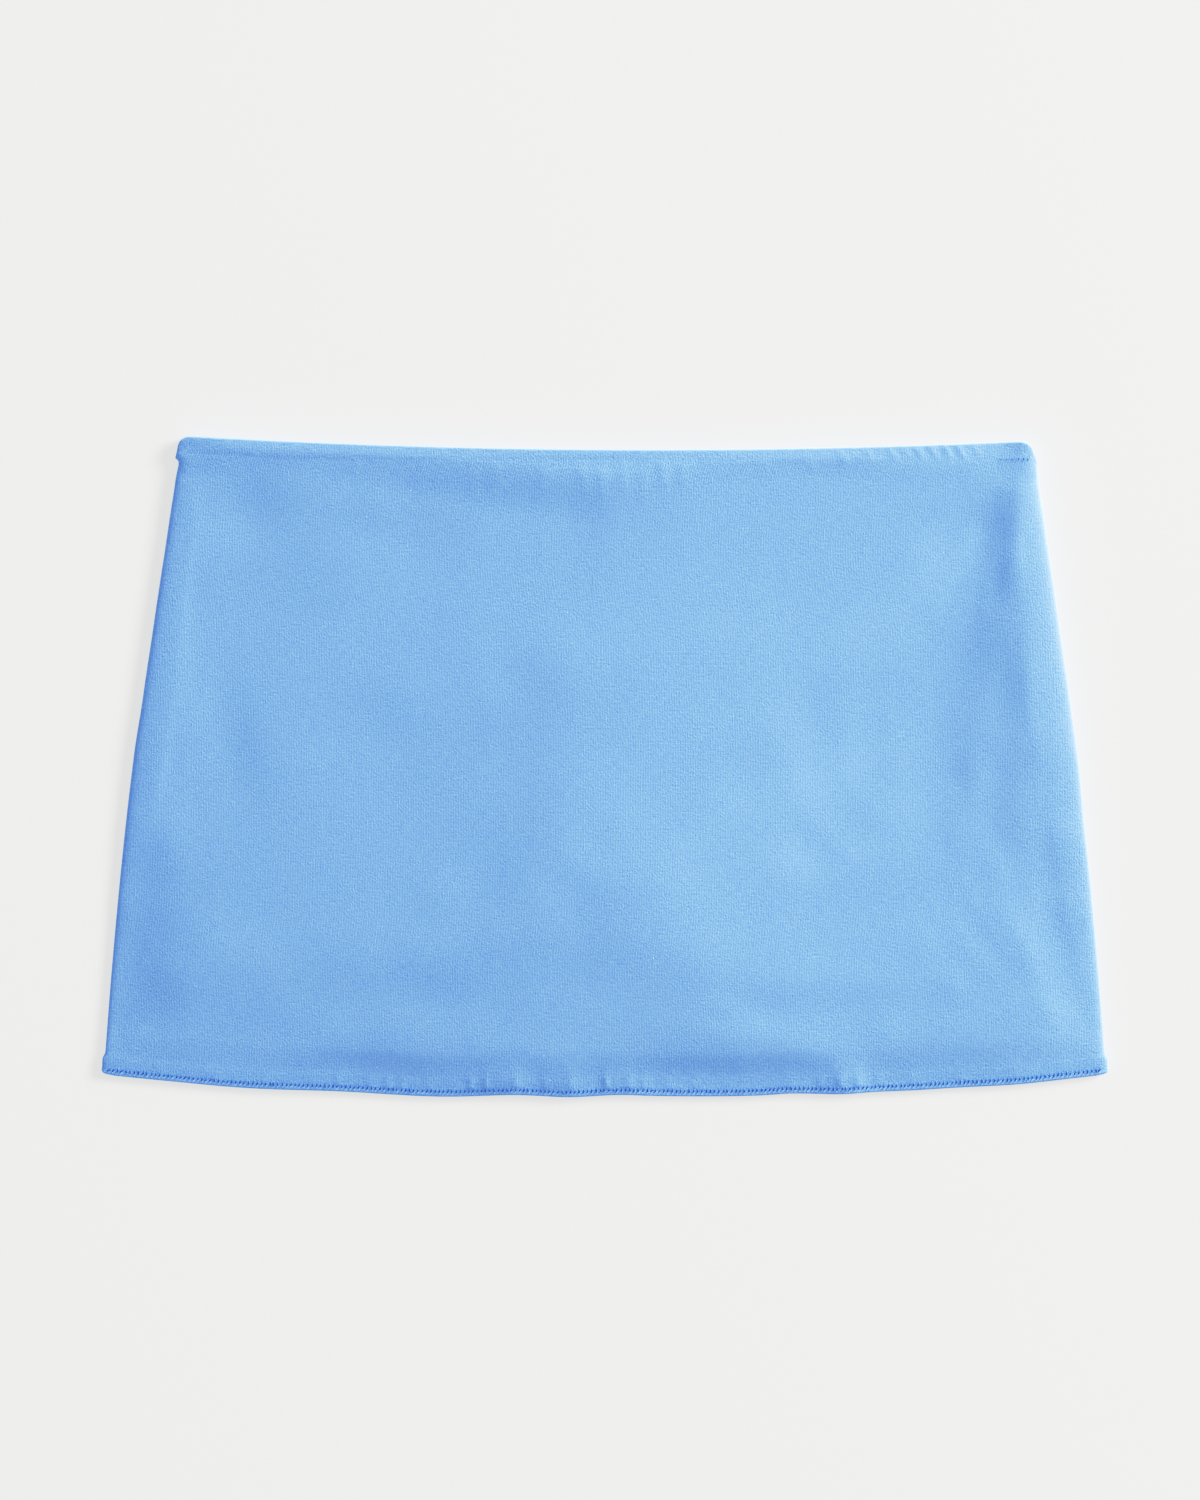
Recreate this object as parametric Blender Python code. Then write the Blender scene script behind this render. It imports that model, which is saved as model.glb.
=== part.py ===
"""Knit mini skirt laid flat: a tube of soft jersey, pressed down until its front lies on its back.

Each side of the tube is a cloth wall, swept from the left side seam to the right one. The wall ends
in a roll round the waist elastic at the top and in a turned, overlocked hem at the bottom.
Frame: +X to the right of the picture, +Y towards the waist, +Z up. The back lies on z = 0.
"""

import bmesh
import bpy
import numpy as np

MM = 0.001

# The flat outline, as it lies
WAIST_ACROSS = 412.4 * MM
HEM_ACROSS = 479.4 * MM
HIP_CURVE = 3.6 * MM
WAIST_END_Y = 157.5 * MM
WAIST_DIP = 5.4 * MM
WAIST_TILT = 1.3 * MM
HEM_END_Y = -148.1 * MM
HEM_SAG = 9.9 * MM
HEM_SAG_POWER = 2.6
SIDE_TOP_Y = 139.4 * MM
SIDE_FOOT_Y = -139.0 * MM

# The cloth and its turned edges
WALL = 1.8 * MM
SEAM_GAP = 0.3 * MM
LAYER_GAP = 0.35 * MM
ROLL_TALL = 8.6 * MM
ROLL_THICK = 3.3 * MM
ROLL_BULGE_LEFT = 1.3 * MM
ROLL_BULGE_RIGHT = 0.3 * MM
HEM_TALL = 8.4 * MM
HEM_THICK = 2.2 * MM
HEM_BULGE = 1.0 * MM
THICKENING = 3.6 * MM

# Heights of the front's outer face over the surface that the skirt lies on
BODY_LEVEL = 5.0 * MM
ROLL_LEVEL = 7.5 * MM
ROLL_CROWN = 0.5 * MM
HEM_LEVEL = 5.3 * MM
HEM_REACH = 24.0 * MM
HIGHEST_FRONT = 7.5 * MM

# The round of each side fold: its widest line, the side seam under that line, and the soft corners
WIDEST_UP = 4.2 * MM
SEAM_DOWN_DEG = 22.0
WAIST_CORNER = 2.4 * MM
HEM_CORNER = 1.7 * MM
CORNER_REACH = 34.0 * MM

# The side folds, in millimetres. A row for each station down the side:
# below the waist, then the crest of the fold in from the left edge and up, and from the right edge and up.
SIDE_FOLDS = (
    # below, left_in, left_up, right_in, right_up
    (0.0, 4.6, 8.5, 6.0, 8.5),
    (8.0, 4.6, 8.1, 9.0, 8.2),
    (13.0, 4.9, 7.4, 11.5, 7.5),
    (50.0, 6.2, 7.3, 12.0, 7.5),
    (95.0, 8.0, 7.4, 17.0, 7.5),
    (140.0, 12.0, 7.4, 21.5, 7.5),
    (185.0, 15.0, 6.6, 15.0, 6.4),
    (220.0, 15.0, 5.6, 11.0, 6.0),
    (250.0, 9.0, 5.0, 8.0, 6.0),
    (282.0, 5.5, 5.2, 6.0, 6.0),
    (300.0, 4.2, 6.0, 4.2, 6.1),
    (320.0, 4.2, 6.0, 4.2, 6.1),
)
# How far the slope from each crest runs in to the body of the cloth: below the waist, left, right
SIDE_SLOPES = (
    # below, left_run, right_run
    (0.0, 30.0, 12.0),
    (28.0, 40.0, 16.0),
    (50.0, 38.0, 28.0),
    (95.0, 32.0, 38.0),
    (140.0, 28.0, 38.0),
    (185.0, 30.0, 34.0),
    (230.0, 40.0, 24.0),
    (320.0, 40.0, 26.0),
)
# How far the slope under the waist roll runs down the front: across from the centre, run
WAIST_SLOPES = (
    # across, run
    (-206.0, 12.0),
    (-150.0, 18.0),
    (-100.0, 24.0),
    (-40.0, 30.0),
    (10.0, 34.0),
    (32.0, 20.0),
    (55.0, 14.0),
    (206.0, 14.0),
)

# Soft folds of the front, in millimetres: a crest line from one point to another, its half width,
# and how far it stands up, or goes down where that is negative. At its two ends a share of that is left.
FOLD_END_SHARE = 0.35
FOLDS = (
    # from_x, from_y, to_x, to_y, half_width, up
    (10.0, 120.0, 30.0, -50.0, 65.0, 1.1),
    (-35.0, -15.0, 62.0, -128.0, 38.0, 1.5),
    (165.0, 110.0, 150.0, -50.0, 30.0, -1.1),
    (-235.0, -90.0, -110.0, -150.0, 52.0, -1.4),
    (-126.0, -124.0, -68.0, -126.0, 13.0, 0.9),
    (26.0, -126.0, 101.0, -126.0, 13.0, 0.9),
    (172.0, -20.0, 238.0, -142.0, 10.0, 1.5),
    (200.0, -30.0, 230.0, -105.0, 6.0, -1.0),
    (-150.0, 60.0, -60.0, -50.0, 34.0, -0.4),
    (95.0, -78.0, 165.0, -96.0, 13.0, 0.5),
    (100.0, -104.0, 165.0, -118.0, 12.0, -0.5),
    (-60.0, 52.0, 10.0, 30.0, 22.0, 0.35),
)

# Waves of the front hem, in millimetres: where along it, half width, how far it dips in the plan
# and how far it lifts off the back hem
HEM_WAVES = (
    # along, half_width, dip, lift
    (-176.0, 26.0, 0.5, 0.5),
    (-128.0, 20.0, -0.3, -0.2),
    (-92.0, 26.0, 0.5, -1.0),
    (-76.0, 20.0, 0.5, 0.0),
    (-45.0, 14.0, -0.4, 1.3),
    (-18.0, 12.0, 0.6, 0.9),
    (8.0, 12.0, -0.5, 1.2),
    (58.0, 30.0, 0.4, -1.0),
    (90.0, 10.0, -0.5, 0.0),
    (116.0, 11.0, 0.6, 1.5),
    (150.0, 15.0, 0.2, -0.8),
    (200.0, 22.0, 0.6, 0.5),
)

# How finely the solids are cut, and the rows of the two turned edges, measured from the edge
ROLL_ROWS = (ROLL_TALL, 6.6 * MM, 4.4 * MM, 2.3 * MM)
HEM_ROWS = (HEM_TALL, 5.6 * MM, 3.1 * MM, 1.6 * MM)
FRONT_ACROSS = 42
BACK_ACROSS = 24
FOLD_STEPS = 5
TURN_STEPS = 2
FRONT_DOWN = 25
BACK_DOWN = 16
EDGE_STEPS = 5

# The length of the front down its centre line
LENGTH = (WAIST_END_Y - WAIST_DIP) - (HEM_END_Y - HEM_SAG)

BLUE = (0.235, 0.505, 0.815, 1.0)
HEM_BLUE = (0.205, 0.465, 0.79, 1.0)


def smooth(share):
    """From 0 to 1 with level ends."""
    share = np.clip(share, 0.0, 1.0)
    return share * share * (3.0 - 2.0 * share)


def off_crest(share):
    """From 0 to 1, steep from the start and level at the end: the slope beside a crisp crest."""
    share = np.clip(share, 0.0, 1.0)
    return 0.5 * smooth(share) + 0.5 * (1.0 - (1.0 - share) ** 2)


def eased(at, stations, values):
    """Values between the stations of a table, with level joints."""
    at = np.clip(at, stations[0], stations[-1])
    index = np.clip(np.searchsorted(stations, at, side="right") - 1, 0, len(stations) - 2)
    share = (at - stations[index]) / (stations[index + 1] - stations[index])
    return values[index] + (values[index + 1] - values[index]) * smooth(share)


def column(table, number):
    """One column of a table, in metres."""
    return np.array([row[number] for row in table]) * MM


def half_width(y):
    """Half the flat width of the skirt at a height of the picture, with its hip curve."""
    down = (SIDE_TOP_Y - y) / (SIDE_TOP_Y - SIDE_FOOT_Y)
    straight = WAIST_ACROSS / 2 + (HEM_ACROSS - WAIST_ACROSS) / 2 * down
    return straight + 4.0 * HIP_CURVE * down * (1.0 - down)


def waist_edge(x):
    """The height in the picture of the waist's top edge: a shallow dip, a little lower on the right."""
    across = x / (WAIST_ACROSS / 2)
    return WAIST_END_Y - WAIST_DIP * (1.0 - across**2) - WAIST_TILT * across


def hem_edge(x):
    """The height in the picture of the hem's edge: a round sag with small waves."""
    across = np.abs(x) / (HEM_ACROSS / 2)
    edge = HEM_END_Y - HEM_SAG * (1.0 - across**HEM_SAG_POWER)
    for along, wide, dip, _ in HEM_WAVES:
        edge = edge - dip * MM * np.exp(-(((x / MM - along) / wide) ** 2))
    return edge


def fold_relief(x, y):
    """How far the soft folds raise or sink the front at each point."""
    relief = np.zeros_like(x)
    for from_x, from_y, to_x, to_y, wide, up in FOLDS:
        start = np.array((from_x, from_y)) * MM
        run = np.array((to_x, to_y)) * MM - start
        length = np.hypot(*run)
        along = ((x - start[0]) * run[0] + (y - start[1]) * run[1]) / length
        aside = ((x - start[0]) * run[1] - (y - start[1]) * run[0]) / length
        past = np.maximum(np.maximum(-along, along - length), 0.0)
        away = np.hypot(aside, past) / (wide * MM)
        middle = np.sin(np.pi * np.clip(along / length, 0.0, 1.0))
        taper = FOLD_END_SHARE + (1.0 - FOLD_END_SHARE) * middle
        relief += up * MM * taper * np.exp(-(away**2))
    return relief


def hem_lift(x):
    """How far the waves lift the front hem."""
    lift = np.zeros_like(x)
    for along, wide, _, up in HEM_WAVES:
        lift += up * MM * np.exp(-(((x / MM - along) / wide) ** 2))
    return lift


def side_fold(below, side):
    """The crest of a side fold, in from the edge and up, at a distance below the waist."""
    stations = column(SIDE_FOLDS, 0)
    first = 1 if side < 0 else 3
    return (
        eased(below, stations, column(SIDE_FOLDS, first)),
        eased(below, stations, column(SIDE_FOLDS, first + 1)),
    )


def edge_half_width(y, below, above, side):
    """Half width with the bulge of the waist roll and of the hem."""
    bulge = ROLL_BULGE_LEFT if side < 0 else ROLL_BULGE_RIGHT
    roll = 1.0 - smooth((below - ROLL_TALL) / (0.5 * ROLL_TALL) + 0.4)
    hem = 1.0 - smooth((above - HEM_TALL) / (0.5 * HEM_TALL) + 0.4)
    return half_width(y) + bulge * roll + HEM_BULGE * hem


def front_height(x, y, below, above, left_edge, right_edge):
    """The height of the front's outer face between the crests of the two side folds."""
    body = BODY_LEVEL + fold_relief(x, y)
    run = eased(x, column(WAIST_SLOPES, 0), column(WAIST_SLOPES, 1))
    roll = ROLL_LEVEL + ROLL_CROWN * np.sin(np.pi * np.clip(below / ROLL_TALL, 0.0, 1.0))
    body = roll + (body - roll) * smooth((below - ROLL_TALL / 2) / run)
    hem = HEM_LEVEL + hem_lift(x)
    body = hem + (body - hem) * smooth((above - HEM_TALL) / HEM_REACH)
    lowest = 2 * wall_thickness(below, above) + LAYER_GAP
    body = np.clip(body, lowest, np.maximum(lowest, HIGHEST_FRONT))
    for side, edge in ((-1, left_edge), (1, right_edge)):
        crest_in, crest_up = side_fold(below, side)
        slope = eased(below, column(SIDE_SLOPES, 0), column(SIDE_SLOPES, 1 if side < 0 else 2))
        inward = np.abs(edge - x) - crest_in
        body = crest_up + (body - crest_up) * off_crest(inward / slope)
    return body


def wall_thickness(below, above):
    """The wall is thicker in the roll and in the turned hem than in the panel between them."""
    roll = 1.0 - smooth((below - ROLL_TALL) / THICKENING)
    hem = 1.0 - smooth((above - HEM_TALL) / THICKENING)
    return WALL + (ROLL_THICK - WALL) * roll + (HEM_THICK - WALL) * hem


def seam_angle(radius, up_side):
    """The side seam's angle under the widest line, less its share of the gap."""
    gap = np.arcsin(0.5 * SEAM_GAP / radius)
    return np.radians(SEAM_DOWN_DEG) + (-gap if up_side else gap)


def outline_at(across, down):
    """Plan point of a share across (-1 to 1) and a share down (0 at the waist edge, 1 at the hem's)."""
    y = WAIST_END_Y + (HEM_END_Y - WAIST_END_Y) * down
    for _ in range(3):
        x = across * half_width(y)
        top, foot = waist_edge(x), hem_edge(x)
        y = top + (foot - top) * down
    return x, y, top, foot


def skin(stations, down, depth, front):
    """Points of one face of the wall.

    stations: across, -1 to 1 on the flat, to 2 at the widest line and on to 3 at the seam under it.
    down: 0 at the waist edge and 1 at the hem's. depth: 0 on the outer face, 1 on the inner one.
    """
    stations, down = np.meshgrid(stations, down)
    side = np.where(stations < 0, -1.0, 1.0)
    beyond = np.abs(stations) - 1.0
    turn = np.clip(beyond, 0.0, 1.0)
    under = np.clip(beyond - 1.0, 0.0, 1.0)
    x, y, top, foot = outline_at(np.clip(stations, -1.0, 1.0), down)
    below, above = top - y, y - foot
    round_share = 1.0 - np.cos(0.5 * np.pi * turn)
    y = y - WAIST_CORNER * round_share * (1.0 - smooth(below / CORNER_REACH))
    y = y + HEM_CORNER * round_share * (1.0 - smooth(above / CORNER_REACH))
    left_edge = -edge_half_width(y, below, above, -1)
    right_edge = edge_half_width(y, below, above, 1)
    edge = np.where(side < 0, left_edge, right_edge)
    left_in, left_up = side_fold(below, -1)
    right_in, right_up = side_fold(below, 1)
    crest_in = np.where(side < 0, left_in, right_in)
    crest_up = np.where(side < 0, left_up, right_up)
    widest = np.minimum(crest_up / 2, WIDEST_UP)
    thick = wall_thickness(below, above) * depth
    share = (np.clip(stations, -1.0, 1.0) + 1.0) / 2
    flat_left = left_edge + (left_in if front else widest)
    flat_right = right_edge - (right_in if front else widest)
    flat_x = flat_left + (flat_right - flat_left) * share
    if front:
        flat_z = front_height(flat_x, y, below, above, left_edge, right_edge) - thick
        angle = 0.5 * np.pi * turn
        round_x = edge + side * ((crest_in - thick) * np.sin(angle) - crest_in)
        round_z = widest + (crest_up - widest - thick) * np.cos(angle)
        low = seam_angle(widest, True) * under
        low_x = edge + side * ((widest - thick) * np.cos(low) - widest)
        low_z = widest - (widest - thick) * np.sin(low)
        round_x = np.where(under > 0, low_x, round_x)
        round_z = np.where(under > 0, low_z, round_z)
    else:
        flat_z = thick
        angle = (0.5 * np.pi - seam_angle(widest, False)) * turn
        round_x = edge + side * ((widest - thick) * np.sin(angle) - widest)
        round_z = widest - (widest - thick) * np.cos(angle)
    on_flat = beyond <= 0
    return np.stack((np.where(on_flat, flat_x, round_x), y, np.where(on_flat, flat_z, round_z)), axis=-1)


def stations_of(front):
    """Shares across the wall, from the left seam to the right one."""
    flat = np.linspace(-1.0, 1.0, (FRONT_ACROSS if front else BACK_ACROSS) + 1)
    turn = 1.0 + np.arange(1, FOLD_STEPS + 1) / FOLD_STEPS
    if front:
        turn = np.concatenate((turn, 2.0 + np.arange(1, TURN_STEPS + 1) / TURN_STEPS))
    return np.concatenate((-turn[::-1], flat, turn))


def wall_loops(stations, rows, front):
    """The rows of a plain stretch of wall: its outer face down, then its inner face back up."""
    outer = skin(stations, rows, 0.0, front)
    inner = skin(stations, rows, 1.0, front)
    return np.concatenate((outer, inner[::-1]))


def edged_loops(stations, rows, edge_down, front):
    """A stretch that ends in a folded edge: along its outer face to the edge, round it, and back."""
    outer = skin(stations, rows, 0.0, front)
    inner = skin(stations, rows, 1.0, front)
    tip = skin(stations, np.array((edge_down,)), 0.5, front)[0]
    middle = 0.5 * (outer[-1] + inner[-1])
    reach = tip - middle
    reach[:, (0, 2)] = 0.0
    half = 0.5 * (outer[-1] - inner[-1])
    angles = np.pi * np.arange(1, EDGE_STEPS + 1) / (EDGE_STEPS + 1)
    turn = [middle + half * np.cos(angle) + reach * np.sin(angle) for angle in angles]
    return np.concatenate((outer, np.array(turn), inner[::-1]))


def solid_of_loops(name, loops, colour):
    """One closed solid from closed loops that run from the left seam to the right one."""
    count, wide, _ = loops.shape
    mesh = bmesh.new()
    grid = [[mesh.verts.new(point) for point in row] for row in loops]
    for i in range(count):
        after = (i + 1) % count
        for j in range(wide - 1):
            mesh.faces.new((grid[i][j], grid[i][j + 1], grid[after][j + 1], grid[after][j]))
    for end in (0, wide - 1):
        for i in range(count // 2 - 1 + count % 2):
            pair = (i, i + 1, count - 2 - i, count - 1 - i)
            mesh.faces.new([grid[row][end] for row in dict.fromkeys(pair)])
    bmesh.ops.recalc_face_normals(mesh, faces=mesh.faces)
    data = bpy.data.meshes.new(name)
    mesh.to_mesh(data)
    mesh.free()
    data.shade_smooth()
    piece = bpy.data.objects.new(name, data)
    bpy.context.scene.collection.objects.link(piece)
    data.materials.append(cloth_material(name + "_knit", colour))
    return piece


def cloth_material(name, colour):
    material = bpy.data.materials.new(name)
    material.use_nodes = True
    shader = material.node_tree.nodes["Principled BSDF"]
    shader.inputs["Base Color"].default_value = colour
    shader.inputs["Roughness"].default_value = 0.9
    shader.inputs["Metallic"].default_value = 0.0
    return material


def waist_roll(name, front):
    """The top edge, turned over its elastic: from the panel's seam up to the folded edge."""
    loops = edged_loops(stations_of(front), np.array(ROLL_ROWS) / LENGTH, 0.0, front)
    return solid_of_loops(name, loops, BLUE)


def panel(name, front):
    """The cloth between the waist roll and the hem, with closer rows near both."""
    first = (ROLL_TALL + SEAM_GAP) / LENGTH
    last = 1.0 - (HEM_TALL + SEAM_GAP) / LENGTH
    even = np.linspace(0.0, 1.0, (FRONT_DOWN if front else BACK_DOWN) + 1)
    rows = first + (last - first) * (even + smooth(even)) / 2
    return solid_of_loops(name, wall_loops(stations_of(front), rows, front), BLUE)


def hem(name, front):
    """The bottom edge, turned up and overlocked: from the panel's seam down to the folded edge."""
    loops = edged_loops(stations_of(front), 1.0 - np.array(HEM_ROWS) / LENGTH, 1.0, front)
    return solid_of_loops(name, loops, HEM_BLUE)


def build():
    """Clears the scene, then makes the front's three pieces and the back's."""
    for old in list(bpy.data.objects):
        bpy.data.objects.remove(old)
    for side, front in (("front", True), ("back", False)):
        waist_roll(side + "_waist_roll", front)
        panel(side + "_panel", front)
        hem(side + "_hem", front)


build()
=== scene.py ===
# %% [markdown]
# # A knit mini skirt, laid flat
#
# The skirt is a tube of soft jersey, lying with its front on its back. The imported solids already
# hold its flat outline, its soft folds and its thick edges. This lesson gives it the looks: finer
# cloth shells in the same places, the jersey with its heathered yarn, the puckers of the elastic
# waist and the ladder of stitches along the hem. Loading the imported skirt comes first, because each
# shell takes the place of one of its parts.

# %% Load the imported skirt
import bmesh
import bpy
import numpy as np
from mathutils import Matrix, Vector


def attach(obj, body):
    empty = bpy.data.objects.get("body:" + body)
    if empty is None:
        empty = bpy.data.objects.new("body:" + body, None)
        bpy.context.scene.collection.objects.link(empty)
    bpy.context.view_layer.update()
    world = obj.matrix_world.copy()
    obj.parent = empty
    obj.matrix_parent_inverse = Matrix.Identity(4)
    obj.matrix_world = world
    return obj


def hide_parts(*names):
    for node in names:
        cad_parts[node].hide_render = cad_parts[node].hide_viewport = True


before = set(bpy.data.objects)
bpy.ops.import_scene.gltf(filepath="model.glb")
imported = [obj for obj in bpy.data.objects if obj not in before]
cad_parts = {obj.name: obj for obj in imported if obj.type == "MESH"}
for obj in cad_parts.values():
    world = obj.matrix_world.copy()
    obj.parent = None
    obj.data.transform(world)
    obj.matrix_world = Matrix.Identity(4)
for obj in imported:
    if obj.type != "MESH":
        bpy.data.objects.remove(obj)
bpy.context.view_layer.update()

MM = 0.001
print("parts:", sorted(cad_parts))

# %% [markdown]
# ## The camera
#
# The skirt is seen from straight above. A long lens from far off keeps the two sides of the tube
# from leaning outwards, as a phone lens close by would make them. The frame is 720 mm tall, so with
# a 150 mm lens and a 36 mm sensor the camera stands 3 metres up.

# %% Camera straight above
FRAME_TALL = 720 * MM
LENS = 150.0
SENSOR = 36.0
VIEW_CENTRE = (-2.4 * MM, 7.9 * MM)
camera_data = bpy.data.cameras.new("camera")
camera_data.lens = LENS
camera_data.sensor_width = SENSOR
camera = bpy.data.objects.new("camera", camera_data)
bpy.context.scene.collection.objects.link(camera)
camera.location = (*VIEW_CENTRE, FRAME_TALL * LENS / SENSOR)
bpy.context.scene.camera = camera
print("camera height in m:", round(camera.location.z, 3))

# %% [markdown]
# ## The light
#
# The low lamp, the rake, stands 250 mm up and 2.2 metres off, on the right and behind, so each
# fold is pale on its right side and deep on its left. So low a light draws folds that are only half
# a millimetre high, and higher folds would be wrong for a skirt that was pressed flat. A second lamp
# higher up softens the rake, and the sky of the studio, a little blue, fills the shadows.
#
# The table must stay even and pale, but the rake would draw a bright pool and a long shadow on it.
# Lamps can be linked to a collection of things that they light, so the table gets a lamp of its own.
# A photo doesn't show light in proportion either: the tone curve deepens the darks and eases the
# brights down. Its values are scene light, up to twice a white card, and the light that is shown.

# %% Key light, sky and tone
RAKE_AT = (1.55, 1.55, 0.25)
RAKE_WIDE = 0.5
RAKE_POWER = 147.0
KEY_AT = (2.1, 0.9, 1.6)
KEY_WIDE = 0.6
KEY_POWER = 24.0
TABLE_KEY_AT = (4.2, 1.8, 3.2)
TABLE_KEY_WIDE = 2.2
TABLE_POWER = 600.0
SKY = 0.53
SKY_COLOUR = (0.92, 1.0, 1.16, 1.0)
BACKDROP = 0.97
TONE = (
    # scene light, shown light
    (0.0, 0.0),
    (0.07, 0.036),
    (0.15, 0.087),
    (0.25, 0.193),
    (0.35, 0.319),
    (0.5, 0.506),
    (0.65, 0.65),
    (0.8, 0.745),
    (0.95, 0.805),
    (1.1, 0.86),
    (1.3, 0.915),
    (1.6, 0.96),
    (2.0, 1.0),
)


def add_area_light(name, place, wide, power, receivers):
    """A square lamp aimed at the skirt that lights only the things of one collection."""
    lamp_data = bpy.data.lights.new(name, "AREA")
    lamp_data.size = wide
    lamp_data.energy = power
    lamp = bpy.data.objects.new(name, lamp_data)
    bpy.context.scene.collection.objects.link(lamp)
    lamp.location = place
    lamp.rotation_euler = (-Vector(place)).to_track_quat("-Z", "Y").to_euler()
    lamp.light_linking.receiver_collection = receivers


def strength_for(tree, fill, seen):
    """One strength for the light that it gives, and another for how it is seen."""
    path = tree.nodes.new("ShaderNodeLightPath")
    choose = tree.nodes.new("ShaderNodeMapRange")
    choose.inputs["To Min"].default_value = fill
    choose.inputs["To Max"].default_value = seen
    tree.links.new(path.outputs["Is Camera Ray"], choose.inputs["Value"])
    return choose.outputs["Result"]


def add_sky(fill, seen):
    world = bpy.data.worlds.new("studio_sky")
    world.use_nodes = True
    tree = world.node_tree
    background = tree.nodes["Background"]
    background.inputs["Color"].default_value = SKY_COLOUR
    tree.links.new(strength_for(tree, fill, seen), background.inputs["Strength"])
    bpy.context.scene.world = world


def set_tone(points):
    settings = bpy.context.scene.view_settings
    settings.view_transform = "Standard"
    settings.use_curve_mapping = True
    mapping = settings.curve_mapping
    brightest = points[-1][0]
    mapping.white_level = (brightest, brightest, brightest)
    curve = mapping.curves[3]
    curve.points[-1].location = (1.0, points[-1][1])
    for bright, shown in points[1:-1]:
        curve.points.new(bright / brightest, shown)
    mapping.update()


lit_cloth = bpy.data.collections.new("lit_cloth")
lit_table = bpy.data.collections.new("lit_table")
add_area_light("rake", RAKE_AT, RAKE_WIDE, RAKE_POWER, lit_cloth)
add_area_light("key", KEY_AT, KEY_WIDE, KEY_POWER, lit_cloth)
add_area_light("table_key", TABLE_KEY_AT, TABLE_KEY_WIDE, TABLE_POWER, lit_table)
add_sky(SKY, BACKDROP)
set_tone(TONE)
print("tone points:", len(TONE))

# %% [markdown]
# ## The floor
#
# The skirt lies on a pale table that glows a little, as a light table does. The glow keeps the
# surround even, leaves only a thin soft shadow on the left, and lights the round sides of the cloth
# from below. The light path tells how a ray came: the camera sees a weaker glow than the cloth gets.

# %% Pale light table
TABLE_WIDE = 40.0
TABLE_COLOUR = (0.30, 0.30, 0.294, 1.0)
TABLE_GLOW = (1.01, 1.0, 0.92, 1.0)
GLOW_SEEN = 0.66
GLOW_FILL = 0.95


def pale_table(wide):
    mesh = bpy.data.meshes.new("table")
    half = wide / 2
    corners = [(-half, -half, 0.0), (half, -half, 0.0), (half, half, 0.0), (-half, half, 0.0)]
    mesh.from_pydata(corners, [], [(0, 1, 2, 3)])
    table = bpy.data.objects.new("table", mesh)
    bpy.context.scene.collection.objects.link(table)
    paint = bpy.data.materials.new("pale_table")
    paint.use_nodes = True
    shader = paint.node_tree.nodes["Principled BSDF"]
    shader.inputs["Base Color"].default_value = TABLE_COLOUR
    shader.inputs["Roughness"].default_value = 1.0
    shader.inputs["Specular IOR Level"].default_value = 0.0
    shader.inputs["Emission Color"].default_value = TABLE_GLOW
    tree = paint.node_tree
    tree.links.new(strength_for(tree, GLOW_FILL, GLOW_SEEN), shader.inputs["Emission Strength"])
    mesh.materials.append(paint)
    return table


table = pale_table(TABLE_WIDE)
lit_table.objects.link(table)

# %% [markdown]
# ## The flat outline
#
# Laid flat, the skirt is a trapezoid: narrower at the elastic waist, wider at the hem, with a slight
# hip curve down each side. The waist dips a little in its middle and the hem sags, with small waves
# where the knit isn't pressed. The main sizes are the ones that the solids were made with. The round
# corners, the sides near the waist and the waves of the hem follow the real skirt more closely, so
# the shells lie close to the solids, and not exactly on them.

# %% Outline sizes and small helpers
WAIST_ACROSS = 412.4 * MM
HEM_ACROSS = 479.4 * MM
HIP_CURVE = 3.6 * MM
WAIST_END_Y = 157.5 * MM
WAIST_DIP = 5.4 * MM
WAIST_TILT = 1.3 * MM
HEM_END_Y = -148.1 * MM
HEM_SAG = 9.9 * MM
HEM_SAG_POWER = 2.6
SIDE_TOP_Y = 139.4 * MM
SIDE_FOOT_Y = -139.0 * MM
LENGTH = (WAIST_END_Y - WAIST_DIP) - (HEM_END_Y - HEM_SAG)


def smooth(share):
    """From 0 to 1 with level ends."""
    share = np.clip(share, 0.0, 1.0)
    return share * share * (3.0 - 2.0 * share)


def off_crest(share):
    """From 0 to 1, steep from the start and level at the end: the slope beside a crisp crest."""
    share = np.clip(share, 0.0, 1.0)
    return 0.5 * smooth(share) + 0.5 * (1.0 - (1.0 - share) ** 2)


def bump(distance):
    """A soft round bump: 1 at distance 0, and fading over a distance of 1."""
    return np.exp(-(distance**2))


def eased(at, stations, values):
    """Values between the stations of a table, with level joints."""
    at = np.clip(at, stations[0], stations[-1])
    index = np.clip(np.searchsorted(stations, at, side="right") - 1, 0, len(stations) - 2)
    share = (at - stations[index]) / (stations[index + 1] - stations[index])
    return values[index] + (values[index + 1] - values[index]) * smooth(share)


def column(table, number):
    """One column of a table, in metres."""
    return np.array([row[number] for row in table]) * MM


print("length down the middle in mm:", round(LENGTH / MM, 1))

# %% Waist, hem and side lines
HEM_WAVES = (
    # along, half_width, dip, lift
    (-176, 26, 0.5, 0.1),
    (-128, 20, -0.3, -0.1),
    (-92, 26, 0.5, -0.15),
    (-76, 20, 0.5, 0.15),
    (-45, 14, -0.4, 1.1),
    (-18, 12, 0.6, 0.8),
    (8, 12, -0.5, 0.5),
    (58, 30, 0.4, 0.15),
    (90, 10, -0.5, 0.2),
    (116, 11, 0.6, 0.9),
    (150, 15, 0.2, 0),
    (200, 22, 0.6, 0.6),
)


def half_width(y):
    down = (SIDE_TOP_Y - y) / (SIDE_TOP_Y - SIDE_FOOT_Y)
    straight = WAIST_ACROSS / 2 + (HEM_ACROSS - WAIST_ACROSS) / 2 * down
    return straight + 4.0 * HIP_CURVE * down * (1.0 - down)


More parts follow.
